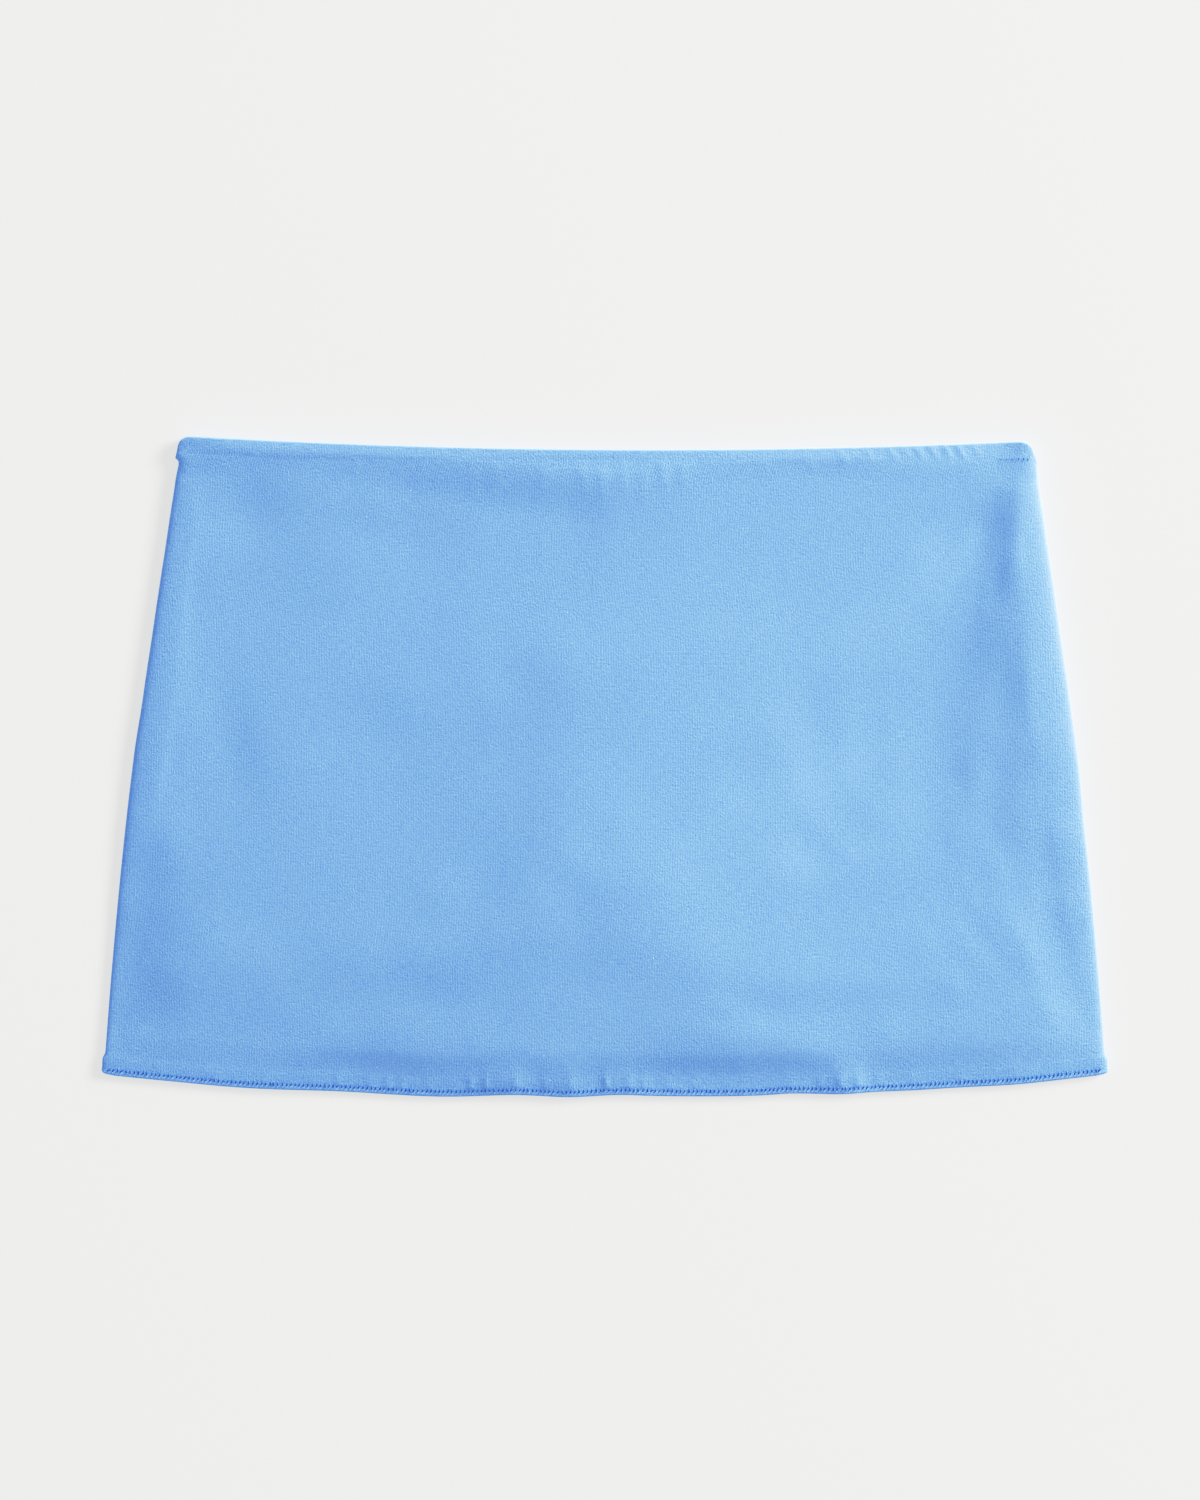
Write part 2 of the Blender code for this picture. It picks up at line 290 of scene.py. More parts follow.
def waist_edge(x):
    across = x / (WAIST_ACROSS / 2)
    return WAIST_END_Y - WAIST_DIP * (1.0 - across**2) - WAIST_TILT * across


def hem_edge(x):
    across = np.abs(x) / (HEM_ACROSS / 2)
    edge = HEM_END_Y - HEM_SAG * (1.0 - across**HEM_SAG_POWER)
    for along, wide, dip, _ in HEM_WAVES:
        edge = edge - dip * MM * bump((x / MM - along) / wide)
    return edge


def hem_lift(x):
    """How far the waves lift the front hem off the back hem."""
    lift = np.zeros_like(x)
    for along, wide, _, up in HEM_WAVES:
        lift += up * MM * bump((x / MM - along) / wide)
    return lift


print("waist and hem at the middle in mm:", waist_edge(0.0) / MM, hem_edge(np.zeros(1))[0] / MM)

# %% [markdown]
# ## The thickness of the cloth
#
# One layer of this soft jersey is just under 2 mm thick with its air and nap. Round the elastic it
# is a roll of 3.3 mm, and the hem is two pressed layers. The change from one to the other is what
# makes the edges look turned, so each shell has the true thickness and isn't a bare surface.

# %% Walls, roll and hem
WALL = 1.8 * MM
SEAM_GAP = 0.1 * MM
LAYER_GAP = 0.35 * MM
ROLL_TALL = 8.6 * MM
ROLL_THICK = 3.3 * MM
ROLL_BULGE_LEFT = 1.3 * MM
ROLL_BULGE_RIGHT = 0.3 * MM
HEM_TALL = 8.4 * MM
HEM_THICK = 2.2 * MM
HEM_BULGE = 1.0 * MM
SIDE_TRIMS = (
    # below, left, right
    (0, 0.6, 1.9),
    (7, 0.5, 2.4),
    (14.5, -0.9, 1.7),
    (20, -0.7, 1.1),
    (30, -0.9, 0.9),
    (60, -1.2, 0.5),
    (95, -1.2, 0.3),
    (125, -0.9, 0.5),
    (155, -0.1, 0.7),
    (185, 0, 0.1),
    (320, 0, 0),
)
THICKENING = 3.6 * MM


def wall_thickness(below, above):
    roll = 1.0 - smooth((below - ROLL_TALL) / THICKENING)
    hem = 1.0 - smooth((above - HEM_TALL) / THICKENING)
    return WALL + (ROLL_THICK - WALL) * roll + (HEM_THICK - WALL) * hem


def edge_half_width(y, below, above, side):
    """Half width with the bulge of the waist roll and of the hem."""
    bulge = ROLL_BULGE_LEFT if side < 0 else ROLL_BULGE_RIGHT
    roll = 1.0 - smooth((below - ROLL_TALL) / (0.5 * ROLL_TALL) + 0.4)
    hem = 1.0 - smooth((above - HEM_TALL) / (0.5 * HEM_TALL) + 0.4)
    trim = eased(below, column(SIDE_TRIMS, 0), column(SIDE_TRIMS, 1 if side < 0 else 2))
    return half_width(y) + bulge * roll + HEM_BULGE * hem + trim


# %% [markdown]
# ## The soft folds of the front
#
# Nothing stretches the front, so it lies in long low folds: a broad swell down the middle, a valley
# along the right side, a hollow at the lower left. A cloth simulation would put folds somewhere, but
# not there. So each fold is one row of a table: a crest line from one point to another, its half
# width, and how far it stands up, or sinks where the number is negative. The solids have a table of
# the same kind, with twelve rows and partly other heights. Across its line a fold is a soft bump, and
# it fades towards both its ends.

# %% Main folds
FOLD_END_SHARE = 0.35
FOLDS = (
    # from_x, from_y, to_x, to_y, half_width, up
    (10, 120, 30, -50, 65, 1.1),
    (-35, -15, 62, -128, 38, 1.5),
    (165, 110, 150, -50, 30, -1.1),
    (-235, -90, -110, -150, 52, -0.2),
    (-126, -128, -68, -130, 13, 0.9),
    (26, -128, 101, -131, 13, 0.8),
    (172, -20, 238, -142, 10, 0.2),
    (-150, 60, -60, -50, 34, -0.4),
    (95, -78, 165, -96, 13, 0.1),
    (-60, 52, 10, 30, 22, 0.35),
)


def fold_relief(table, x, y, end_share):
    """How far the folds of a table raise or sink the cloth at each point."""
    relief = np.zeros_like(x)
    for from_x, from_y, to_x, to_y, wide, up in table:
        start = np.array((from_x, from_y)) * MM
        run = np.array((to_x, to_y)) * MM - start
        length = np.hypot(*run)
        along = ((x - start[0]) * run[0] + (y - start[1]) * run[1]) / length
        aside = ((x - start[0]) * run[1] - (y - start[1]) * run[0]) / length
        past = np.maximum(np.maximum(-along, along - length), 0.0)
        middle = np.sin(np.pi * np.clip(along / length, 0.0, 1.0)) ** 2
        taper = end_share + (1.0 - end_share) * middle
        relief += up * MM * taper * bump(np.hypot(aside, past) / (wide * MM))
    return relief


print("main folds:", len(FOLDS))

# %% [markdown]
# ## The finer folds
#
# These are too low or too narrow for the solids: the creases where the right side turns over, faint
# ripples that run slantwise from the waist, and the sag just above the hem. They go on top of the
# main folds and fade out at the side folds. Under the raking light a row of half a millimetre is a
# clear fold. The lines and widths were placed one by one. The heights were not: a least-squares
# fit worked them out, in rounds, from the soft lights and darks of the real skirt and of a render,
# and a few were then changed one by one.

# %% Finer folds
FINE_END_SHARE = 0.1
FINE_FOLDS = (
    # from_x, from_y, to_x, to_y, half_width, up
    (-60, -40, 0, -80, 50, 1.30),
    (110, 50, 110, -20, 32, -0.48),
    (20, 60, 40, 0, 50, -0.36),
    (-170, -82, -100, -90, 22, 0.17),
    (-110, -82, -40, -92, 24, 0.86),
    (-200, -50, -196, 30, 24, -0.40),
    (-150, 60, -60, 80, 36, -0.11),
    (60, -70, 160, -80, 26, -0.43),
    (160, 80, 172, 0, 20, -0.31),
    (-130, 108, -50, 100, 22, -0.41),
    (-60, -126, 30, -126, 22, 0.79),
    (60, -118, 150, -124, 20, -0.11),
    (150, 20, 160, -60, 26, -0.31),
    (-20, 20, -60, -10, 22, -0.15),
    (60, 20, 84, -30, 20, -0.60),
    (-160, -108, -100, -120, 16, -0.26),
    (194, 140, 189, 70, 7, -0.74),
    (186, 140, 180, 70, 9, -1.17),
    (206, 80, 210, 0, 7, 0.32),
    (190, 70, 189, 0, 8, -0.40),
    (178, 110, 172, 20, 11, -0.63),
    (212, 0, 192, -42, 7, 0.28),
    (204, 4, 186, -40, 7, 0.21),
    (192, -40, 224, -130, 6, -0.30),
    (200, -36, 230, -122, 6, -0.24),
    (176, 16, 178, -32, 7, 0.43),
    (168, 0, 170, -50, 9, 0.36),
    (178, -30, 196, -68, 6, 0.16),
    (166, -48, 204, -106, 6, 0.22),
    (176, -48, 214, -108, 6, 0.23),
    (204, -106, 224, -130, 6, 0.16),
    (156, -64, 196, -114, 7, 0.21),
    (138, -72, 162, -94, 8, 0.13),
    (162, -92, 168, -116, 8, 0.23),
    (44, -100, 168, -106, 9, 0.21),
    (36, -116, 100, -122, 9, -0.47),
    (30, -134, 104, -138, 8, -0.30),
    (0, -48, 30, -88, 12, -0.17),
    (30, -84, 60, -104, 12, 0.15),
    (-4, -60, 2, -130, 14, 0.09),
    (-140, 114, -90, 112, 9, -0.22),
    (-186, 50, -170, -36, 12, -0.41),
    (-208, 110, -212, 20, 8, 0.34),
    (-196, 120, -202, 20, 10, -0.19),
    (-212, 10, -204, -80, 10, 0.21),
    (-226, -90, -190, -110, 12, 0.41),
    (-220, -134, -150, -140, 8, -0.23),
    (-150, -138, -80, -144, 8, -0.23),
    (-80, -142, -10, -146, 7, -0.20),
    (120, -138, 200, -136, 7, -0.19),
    (-225, -88, -150, -92, 18, 0.50),
    (-150, -92, -70, -96, 16, 0.13),
    (-84, -60, -56, -92, 16, -0.19),
    (190, -100, 216, -146, 14, 0.18),
    (110, 60, 150, 0, 24, -0.73),
    (-184, 140, -172, 84, 12, 0.17),
    (-140, 60, -60, 10, 16, 0.20),
    (-90, 40, -20, -40, 16, -0.18),
    (90, 60, 120, -60, 16, -0.74),
    (-40, -30, 6, -90, 16, -0.61),
    (60, -136, 100, -138, 10, -0.10),
    (120, -126, 150, -130, 8, 0.15),
    (-130, -126, -70, -130, 9, -0.32),
    (-130, -134, -60, -140, 12, -0.16),
    (-70, -140, 0, -142, 12, 0.64),
    (10, -138, 80, -138, 12, -0.22),
    (70, -136, 110, -134, 9, 0.24),
    (-130, -142, -60, -148, 7, 0.15),
    (10, -146, 80, -144, 7, -0.25),
    (-220, -122, -120, -136, 12, -0.31),
    (204, 136, 172, 66, 7, 0.81),
    (186, 139, 148, 76, 9, -0.73),
    (199, 116, 186, 72, 5, 0.81),
    (205, 116, 194, 70, 5, 0.28),
    (181, 142, 176, 112, 6, 0.16),
    (156, 130, 154, 96, 9, -0.14),
    (202, -30, 206, -96, 8, 0.30),
    (-212, -40, -205, -92, 8, 0.09),
    (-229, -120, -222, -138, 8, 0.22),
    (150, 10, 140, -30, 14, -0.23),
    (-66, -68, -40, -92, 12, 0.27),
    (-175, -86, -150, -104, 12, 0.14),
    (-60, 60, -20, 20, 14, -0.34),
    (126, 30, 130, -30, 12, -0.91),
    (208, -20, 214, -70, 6, -0.13),
    (-214, 130, -206, 100, 12, 0.38),
    (-196, 130, -186, 96, 12, 0.11),
    (40, -112, 80, -122, 6, 0.30),
    (180, 110, 158, 66, 5, -0.23),
    (193, 104, 184, 70, 4.5, -0.43),
    (184, 98, 174, 64, 4.5, -0.22),
    (100, -5, 132, -45, 12, -0.42),
    (84, -20, 112, -58, 12, -0.63),
    (130, 30, 165, -10, 12, -0.12),
    (118, 18, 150, -24, 12, 0.36),
    (-20, -22, 10, -54, 12, -0.37),
    (-90, -45, -60, -80, 10, 0.10),
    (-102, -58, -74, -92, 10, -0.20),
    (-190, 140, -160, 100, 20, -0.83),
    (190, 136, 168, 84, 6, -0.27),
    (20, -126, 110, -128, 12, -0.37),
)

print("finer folds:", len(FINE_FOLDS))

# %% [markdown]
# ## The side folds and the slopes to the waist and hem
#
# At each side the cloth turns over in a soft round, higher than the body of the front. The tables
# give the crest of that round at stations down the side, and how far its slope runs inward. The
# waist slope falls from the roll to the body in two parts: a short drop at the foot of the roll,
# deepest a little left of the middle, and a long ease below it.

# %% Side fold tables
BODY_LEVEL = 6.1 * MM
ROLL_LEVEL = 7.5 * MM
ROLL_CROWN = 0.5 * MM
ROLL_RISE = 0.22 * MM
HEM_LEVEL = 5.1 * MM
HEM_EDGE = 4.5 * MM
HEM_REACH = 17.0 * MM
HIGHEST_FRONT = 8.3 * MM
EASE = 0.2 * MM
SIDE_FOLDS = (
    # below, left_in, left_up, right_in, right_up
    (0, 4.6, 8.2, 6, 8.5),
    (8, 5.5, 7.8, 8, 8.2),
    (20, 8, 7.1, 8.5, 7.8),
    (50, 11, 6.8, 9.5, 7.85),
    (95, 12, 6.7, 15, 7.85),
    (140, 14, 6.7, 18, 7.75),
    (185, 12, 6.1, 15, 7),
    (220, 10, 5.3, 12, 6.3),
    (250, 10, 4.7, 9, 5.7),
    (282, 6, 4.7, 6.5, 5.3),
    (300, 4.2, 5.2, 4.2, 5.4),
    (320, 4.2, 5.2, 4.2, 5.4),
)
SIDE_SLOPES = (
    # below, left_run, right_run
    (0, 40, 12),
    (28, 44, 24),
    (50, 40, 38),
    (95, 30, 52),
    (140, 26, 52),
    (185, 28, 42),
    (230, 40, 24),
    (320, 40, 26),
)
WAIST_SLOPES = (
    # across, crest, short_run, short_drop
    (-206, 5, 8, 0.1),
    (-150, 5, 11, 0.28),
    (-112, 4.8, 16, 0.5),
    (-90, 5.4, 20, 0.95),
    (-50, 7.6, 24, 1.25),
    (-19, 9.6, 26, 1.15),
    (8, 12, 28, 0.5),
    (36, 9, 22, 0.12),
    (60, 7, 12, 0.2),
    (86, 5.4, 10, 0.25),
    (111, 6, 10, 0.3),
    (160, 9, 14, 0.2),
    (206, 13, 14, 0.1),
)
WAIST_RUN = 84.0 * MM


def side_fold(below, side):
    """The crest of a side fold, in from the edge and up, at a distance below the waist."""
    stations = column(SIDE_FOLDS, 0)
    first = 1 if side < 0 else 3
    crest_in = eased(below, stations, column(SIDE_FOLDS, first))
    return crest_in, eased(below, stations, column(SIDE_FOLDS, first + 1))


print("stations down each side:", len(SIDE_FOLDS))

# %% [markdown]
# ## Puckers of the waist
#
# The elastic is shorter than the cloth round it, so the roll gathers: slanting puckers near its right
# end, and upright ones under its middle. Each is one row: where it lies, how far it leans, how wide
# it is and how far it stands up. On the left the roll ends in a small step down to the panel. A
# step casts one dark line, as the turned edge does, where a groove would add a bright line under it.

# %% Pucker and crease tables
PUCKERS = (
    # across, top_below, foot_below, lean, half_width, up
    (-10.6, 4, 26, 0, 2.6, 0.12),
    (-1.5, 6, 30, 1, 2.2, 0.10),
    (8.6, 3, 24, 0.5, 2.4, 0.13),
    (18, 6, 32, -0.5, 2.6, 0.10),
    (27.6, 3, 22, 1.5, 2.2, 0.14),
    (37.6, 5, 24, 1, 2.6, 0.10),
    (76, 4, 16, 2, 2.8, 0.08),
    (98, 2, 14, 3, 2.6, 0.07),
    (114, 0, 11, 4, 1.9, 0.09),
    (126.7, 0, 10, 4.5, 1.7, 0.09),
    (137.3, -1, 9, 5, 1.6, 0.11),
    (144, -1, 8, 5, 1.4, 0.09),
    (150.4, -1, 9, 5.5, 1.5, 0.14),
    (157.2, -1, 9, 5.5, 1.4, 0.15),
    (163.8, -1, 9, 5.5, 1.4, 0.14),
    (170.4, -1, 10, 6, 1.5, 0.17),
    (178.2, 0, 9, 5, 1.6, 0.09),
    (-120, 5, 16, -1, 3.4, 0.07),
    (-88, 6, 20, -2, 3, 0.07),
    (-52, 5, 22, -1, 2.8, 0.09),
    (-30, 6, 24, 0, 2.4, 0.09),
)
ROLL_CREASE = (
    # across, below, deep
    (-204, 8.2, 0.10),
    (-180, 7.4, 0.12),
    (-160, 7.9, 0.08),
    (-138, 7.2, 0.10),
    (-112, 6.9, 0.06),
    (-70, 5.4, 0.05),
    (-30, 4.5, 0.07),
    (6, 4.2, 0.08),
    (22, 4.3, 0.02),
    (184, 8.4, 0),
    (190, 8.8, 0.10),
    (204, 9, 0.16),
)
CREASE_HALF = 1.0 * MM
CREASE_REACH = 16.0 * MM


def pucker_relief(x, below):
    relief = np.zeros_like(x)
    for across, top, foot, lean, wide, up in PUCKERS:
        share = (below / MM - top) / (foot - top)
        line = across + lean * (share - 0.5)
        window = smooth(share * 3.0) * smooth((1.0 - share) * 2.2)
        relief += up * MM * window * bump((x / MM - line) / wide)
    return relief


def crease_relief(x, below):
    line = eased(x, column(ROLL_CREASE, 0), column(ROLL_CREASE, 1))
    deep = eased(x, column(ROLL_CREASE, 0), column(ROLL_CREASE, 2))
    step = smooth((below - line) / (2.0 * CREASE_HALF) + 0.5)
    return -deep * step * (1.0 - smooth((below - line) / CREASE_REACH))


print("puckers:", len(PUCKERS))

# %% [markdown]
# ## The furrow and pleats of the hem
#
# The overlock thread is tight, so it draws a shallow furrow 2.75 mm above the edge, deeper under each
# stitch. Below it the fold puffs out as a lip, and above it the cloth gathers in uneven pleats.

# %% Furrow, lip and pleats
STITCH_PITCH = 2.03 * MM
STITCH_ROW = 2.75 * MM
FURROW_AT = 2.45 * MM
FURROW_HALF = 0.8 * MM
FURROW_DEEP = 0.05 * MM
DIMPLE_DEEP = 0.10 * MM
LIP_UP = 0.05 * MM
LIP_AT = 0.9 * MM
LIP_HALF = 1.1 * MM
BAND_UP = 0.06 * MM
BAND_AT = 6.6 * MM
BAND_HALF = 2.6 * MM
PLEAT_START = 2.6 * MM
PLEAT_RISE = 2.0 * MM
PLEAT_TOP = 6.0 * MM
PLEAT_FADE = 11.0 * MM
HEM_PLEATS = (
    # across, half_width, up
    (-214, 3, 0.05), (-190, 4, 0.06), (-163, 3, 0.06), (-141, 2.6, 0.08),
    (-128, 2.2, 0.10), (-113, 2.6, 0.10), (-104.5, 1.9, 0.14), (-97, 1.8, 0.12),
    (-84, 2.4, 0.10), (-64.5, 1.9, 0.20), (-57, 1.7, 0.18), (-43, 2.1, 0.20),
    (-28.5, 2.3, 0.18), (-16.5, 2, 0.14), (0.5, 1.6, 0.28), (11, 2.2, 0.18),
    (18.5, 1.9, 0.16), (30, 2.6, 0.10), (44, 2.6, 0.08), (66, 3, 0.07),
    (88, 2.4, 0.09), (103, 2.2, 0.14), (112.5, 2, 0.18), (121, 2, 0.18),
    (131, 2.4, 0.12), (147, 2.8, 0.08), (170, 3, 0.08), (196, 3, 0.07),
    (219, 3, 0.06),
)


def hem_relief(x, above, along):
    """The furrow with its dimples, the lip under it, the band and the pleats over it."""
    beat = 0.5 + 0.5 * np.cos(2.0 * np.pi * along / STITCH_PITCH)
    furrow = bump((above - FURROW_AT) / FURROW_HALF)
    relief = -furrow * (FURROW_DEEP + DIMPLE_DEEP * beat)
    relief += LIP_UP * bump((above - LIP_AT) / LIP_HALF)
    relief += BAND_UP * bump((above - BAND_AT) / BAND_HALF)
    window = smooth((above - PLEAT_START) / PLEAT_RISE)
    window = window * (1.0 - smooth((above - PLEAT_TOP) / PLEAT_FADE))
    for across, wide, up in HEM_PLEATS:
        relief += up * MM * window * bump((x / MM - across) / wide)
    return relief


print("stitches across the front:", round(HEM_ACROSS / STITCH_PITCH))

# %% [markdown]
# ## One function for the whole skin
#
# The front and the back are each one sweep from the left side seam to the right one. A station of
# -1 to 1 runs across the flat part, to 2 it turns round the side fold to the widest line, and to 3
# it goes on to the seam under it. Making every shell from this one function keeps the waist roll,
# the panel and the hem on one surface, so that their joins don't show.
#
# A pressed side isn't a half circle. It is nearly level almost to the edge and then drops, so the
# round is drawn as a squarer curve. Seen from above, the four corners are round too, so the last few
# millimetres at each side are moved down from the waist edge and up from the hem edge.

# %% Heights of the front
FINE_FADE = 5.0 * MM
FINE_START = 4.0 * MM
FINE_RISE = 10.0 * MM
ROLL_POWER = 1.3
EDGE_FLAT = 4.0 * MM
NEAR_HEM = 30.0 * MM
NEAR_WAIST = 40.0 * MM


def front_height(x, y, below, above, along, left_edge, right_edge):
    """The height of the front's outer face between the crests of the two side folds."""
    body = BODY_LEVEL + fold_relief(FOLDS, x, y, FOLD_END_SHARE)
    crest, short_run, short_drop = (
        eased(x, column(WAIST_SLOPES, 0), column(WAIST_SLOPES, number)) for number in range(1, 4)
    )
    roll = ROLL_LEVEL + ROLL_CROWN - ROLL_RISE * np.clip(1.0 - below / crest, 0.0, 1.0) ** ROLL_POWER
    roll = roll - short_drop * smooth((below - crest) / short_run)
    body = roll + (body - roll) * off_crest((below - crest) / WAIST_RUN)
    hem = HEM_LEVEL + hem_lift(x)
    body = hem + (body - hem) * smooth((above - HEM_EDGE) / HEM_REACH)
    near_edge = 1.0 - smooth((above - EDGE_FLAT) / HEM_REACH)
    hem_floor = 2 * (WALL + (HEM_THICK - WALL) * near_edge) + LAYER_GAP
    lowest = np.maximum(2 * wall_thickness(below, above) + LAYER_GAP, hem_floor)
    body = np.maximum(np.minimum(body, HIGHEST_FRONT), lowest)
    away = np.full_like(x, 1.0)
    for side, edge in ((-1, left_edge), (1, right_edge)):
        crest_in, crest_up = side_fold(below, side)
        slope = eased(below, column(SIDE_SLOPES, 0), column(SIDE_SLOPES, 1 if side < 0 else 2))
        inward = np.abs(edge - x) - crest_in
        body = crest_up + (body - crest_up) * off_crest(inward / slope)
        away = away * smooth(inward / FINE_FADE)
    fine = fold_relief(FINE_FOLDS, x, y, FINE_END_SHARE) * smooth((below - FINE_START) / FINE_RISE)
    body = lowest + EASE * np.logaddexp(0.0, (body + away * fine - lowest) / EASE)
    stitched = np.where(above < NEAR_HEM, hem_relief(x, above, along), 0.0)
    gathered = np.where(below < NEAR_WAIST, pucker_relief(x, below) + crease_relief(x, below), 0.0)
    return body + stitched * smooth(away * 2.0 + 0.5) + gathered


# %% Points of the skin
WIDEST_UP = 4.2 * MM
SEAM_DOWN = np.radians(22.0)
CORNER_IN = 7.0 * MM
WAIST_CORNER = 6.4 * MM
HEM_CORNER = 2.2 * MM
CORNER_REACH = 16.0 * MM
SIDE_SQUARE = 0.27
LEFT_FALL = 0.07
RIGHT_FALL = 0.17
SEAM_DIP = 0.45 * MM


def outline_at(across, down):
    """Plan point of a share across (-1 to 1) and a share down (0 at the waist edge, 1 at the hem's)."""
    y = WAIST_END_Y + (HEM_END_Y - WAIST_END_Y) * down
    for _ in range(3):
        x = across * half_width(y)
        top, foot = waist_edge(x), hem_edge(x)
        y = top + (foot - top) * down
    return x, y, top, foot


def seam_angle(radius, up_side):
    gap = np.arcsin(0.5 * SEAM_GAP / radius)
    return SEAM_DOWN + (-gap if up_side else gap)


def skin(stations, down, depth, front):
    """Points of the cloth: depth is 0 on the outer face and 1 on the inner one."""
    stations, down = np.broadcast_arrays(stations, down)
    side = np.where(stations < 0, -1.0, 1.0)
    beyond = np.abs(stations) - 1.0
    turn = np.clip(beyond, 0.0, 1.0)
    under = np.clip(beyond - 1.0, 0.0, 1.0)
    _, y, top, foot = outline_at(np.clip(stations, -1.0, 1.0), down)
    below, above = top - y, y - foot
    if front:
        angle = 0.5 * np.pi * smooth(turn)
        reach, rise = np.sin(angle) ** SIDE_SQUARE, np.cos(angle) ** SIDE_SQUARE
        rise = rise * (1.0 - np.where(side < 0, LEFT_FALL, RIGHT_FALL) * reach**2)
    left_edge = -edge_half_width(y, below, above, -1)
    right_edge = edge_half_width(y, below, above, 1)
    edge = np.where(side < 0, left_edge, right_edge)
    left_in, left_up = side_fold(below, -1)
    right_in, right_up = side_fold(below, 1)
    crest_in = np.where(side < 0, left_in, right_in)
    crest_up = np.where(side < 0, left_up, right_up)
    widest = np.minimum(crest_up / 2, WIDEST_UP)
    past_seam = (under - 0.4) / 0.6 if front else (turn - 0.86) / 0.14
    seam_share = smooth(past_seam)
    thick = wall_thickness(below, above) * depth + SEAM_DIP * seam_share * (1.0 - depth)
    share = (np.clip(stations, -1.0, 1.0) + 1.0) / 2
    flat_left = left_edge + (left_in if front else widest)
    flat_right = right_edge - (right_in if front else widest)
    flat_x = flat_left + (flat_right - flat_left) * share
    beat = DIMPLE_DEEP * bump((above - STITCH_ROW) / FURROW_HALF) * (1.0 - depth)
    if front:
        flat_z = front_height(flat_x, y, below, above, flat_x, left_edge, right_edge) - thick
        furrow = hem_relief(edge, above, np.full_like(above, STITCH_PITCH / 2))
        furrow = furrow * (1.0 - depth) * (above < 14 * MM)
        round_x = edge + side * ((crest_in - thick + furrow) * reach - crest_in)
        round_z = widest + (crest_up - widest - thick + furrow) * rise
        low = seam_angle(widest, True) * under
        low_x = edge + side * ((widest - thick + furrow) * np.cos(low) - widest)
        low_z = widest - (widest - thick + furrow) * np.sin(low)
        round_x = np.where(under > 0, low_x, round_x)
        round_z = np.where(under > 0, low_z, round_z)
    else:
        flat_z = thick + beat
        angle = (0.5 * np.pi - seam_angle(widest, False)) * turn
        round_x = edge + side * ((widest - thick) * np.sin(angle) - widest)
        round_z = widest - (widest - thick - beat) * np.cos(angle)
    on_flat = beyond <= 0
    place_x = np.where(on_flat, flat_x, round_x)
    place_z = np.where(on_flat, flat_z, round_z)
    inset = np.clip(1.0 - np.abs(edge - place_x) / CORNER_IN, 0.0, 1.0)
    corner = 1.0 - np.sqrt(1.0 - inset**2)
    y = y - WAIST_CORNER * corner * (1.0 - smooth(below / CORNER_REACH))
    y = y + HEM_CORNER * corner * (1.0 - smooth(above / CORNER_REACH))
    return np.stack((place_x, y, place_z), axis=-1)


middle = skin(np.zeros(1), np.array((0.5,)), 0.0, True)[0]
print("middle of the front in mm:", np.round(middle / MM, 2))

# %% [markdown]
# ## Heathered yarn
#
# The blue isn't one dye. Pale and deep fibres are spun together, so the cloth is flecked at one or
# two millimetres, with faint streaks along its rows and columns, broad clouds and a few specks of
# lint. Image textures would do, but they would repeat and have one size. Noise in a node group does
# it at any distance, and the body, the hem and the thread can each place it with their own values.

# %% Helpers for node groups


def new_group(name, inputs, outputs):
    group = bpy.data.node_groups.new(name, "ShaderNodeTree")
    for label, kind, value in inputs:
        socket = group.interface.new_socket(name=label, in_out="INPUT", socket_type=kind)
        if value is not None:
            socket.default_value = value
    for label, kind in outputs:
        group.interface.new_socket(name=label, in_out="OUTPUT", socket_type=kind)
    return group, group.nodes.new("NodeGroupInput"), group.nodes.new("NodeGroupOutput")


def put(tree, socket, value):
    """Links a socket to another, or sets it to a number or a vector."""
    if isinstance(value, bpy.types.NodeSocket):
        tree.links.new(value, socket)
    else:
        socket.default_value = value


def maths(tree, operation, *values, clamp=False):
    node = tree.nodes.new("ShaderNodeMath")
    node.operation = operation
    node.use_clamp = clamp
    for socket, value in zip(node.inputs, values):
        put(tree, socket, value)
    return node.outputs[0]


def stretched(tree, place, scale):
    """The place on the cloth, scaled unevenly, so that a noise read there is drawn out."""
    node = tree.nodes.new("ShaderNodeVectorMath")
    node.operation = "MULTIPLY"
    put(tree, node.inputs[0], place)
    put(tree, node.inputs[1], scale)
    return node.outputs[0]


def noise(tree, place, scale, detail, rough, colour=False):
    node = tree.nodes.new("ShaderNodeTexNoise")
    put(tree, node.inputs["Vector"], place)
    put(tree, node.inputs["Scale"], scale)
    put(tree, node.inputs["Detail"], detail)
    put(tree, node.inputs["Roughness"], rough)
    return node.outputs["Color"] if colour else node.outputs["Fac"]


def mixed(tree, share, first, second):
    node = tree.nodes.new("ShaderNodeMix")
    node.data_type = "RGBA"
    put(tree, node.inputs[0], share)
    put(tree, node.inputs[6], first)
    put(tree, node.inputs[7], second)
    return node.outputs[2]


def ranged(tree, value, low, high, to_low, to_high):
    node = tree.nodes.new("ShaderNodeMapRange")
    for socket, number in zip(node.inputs, (value, low, high, to_low, to_high)):
        put(tree, socket, number)
    return node.outputs["Result"]


# %% Heathered yarn group
LINT_COLOUR = (0.62, 0.82, 0.95, 1.0)


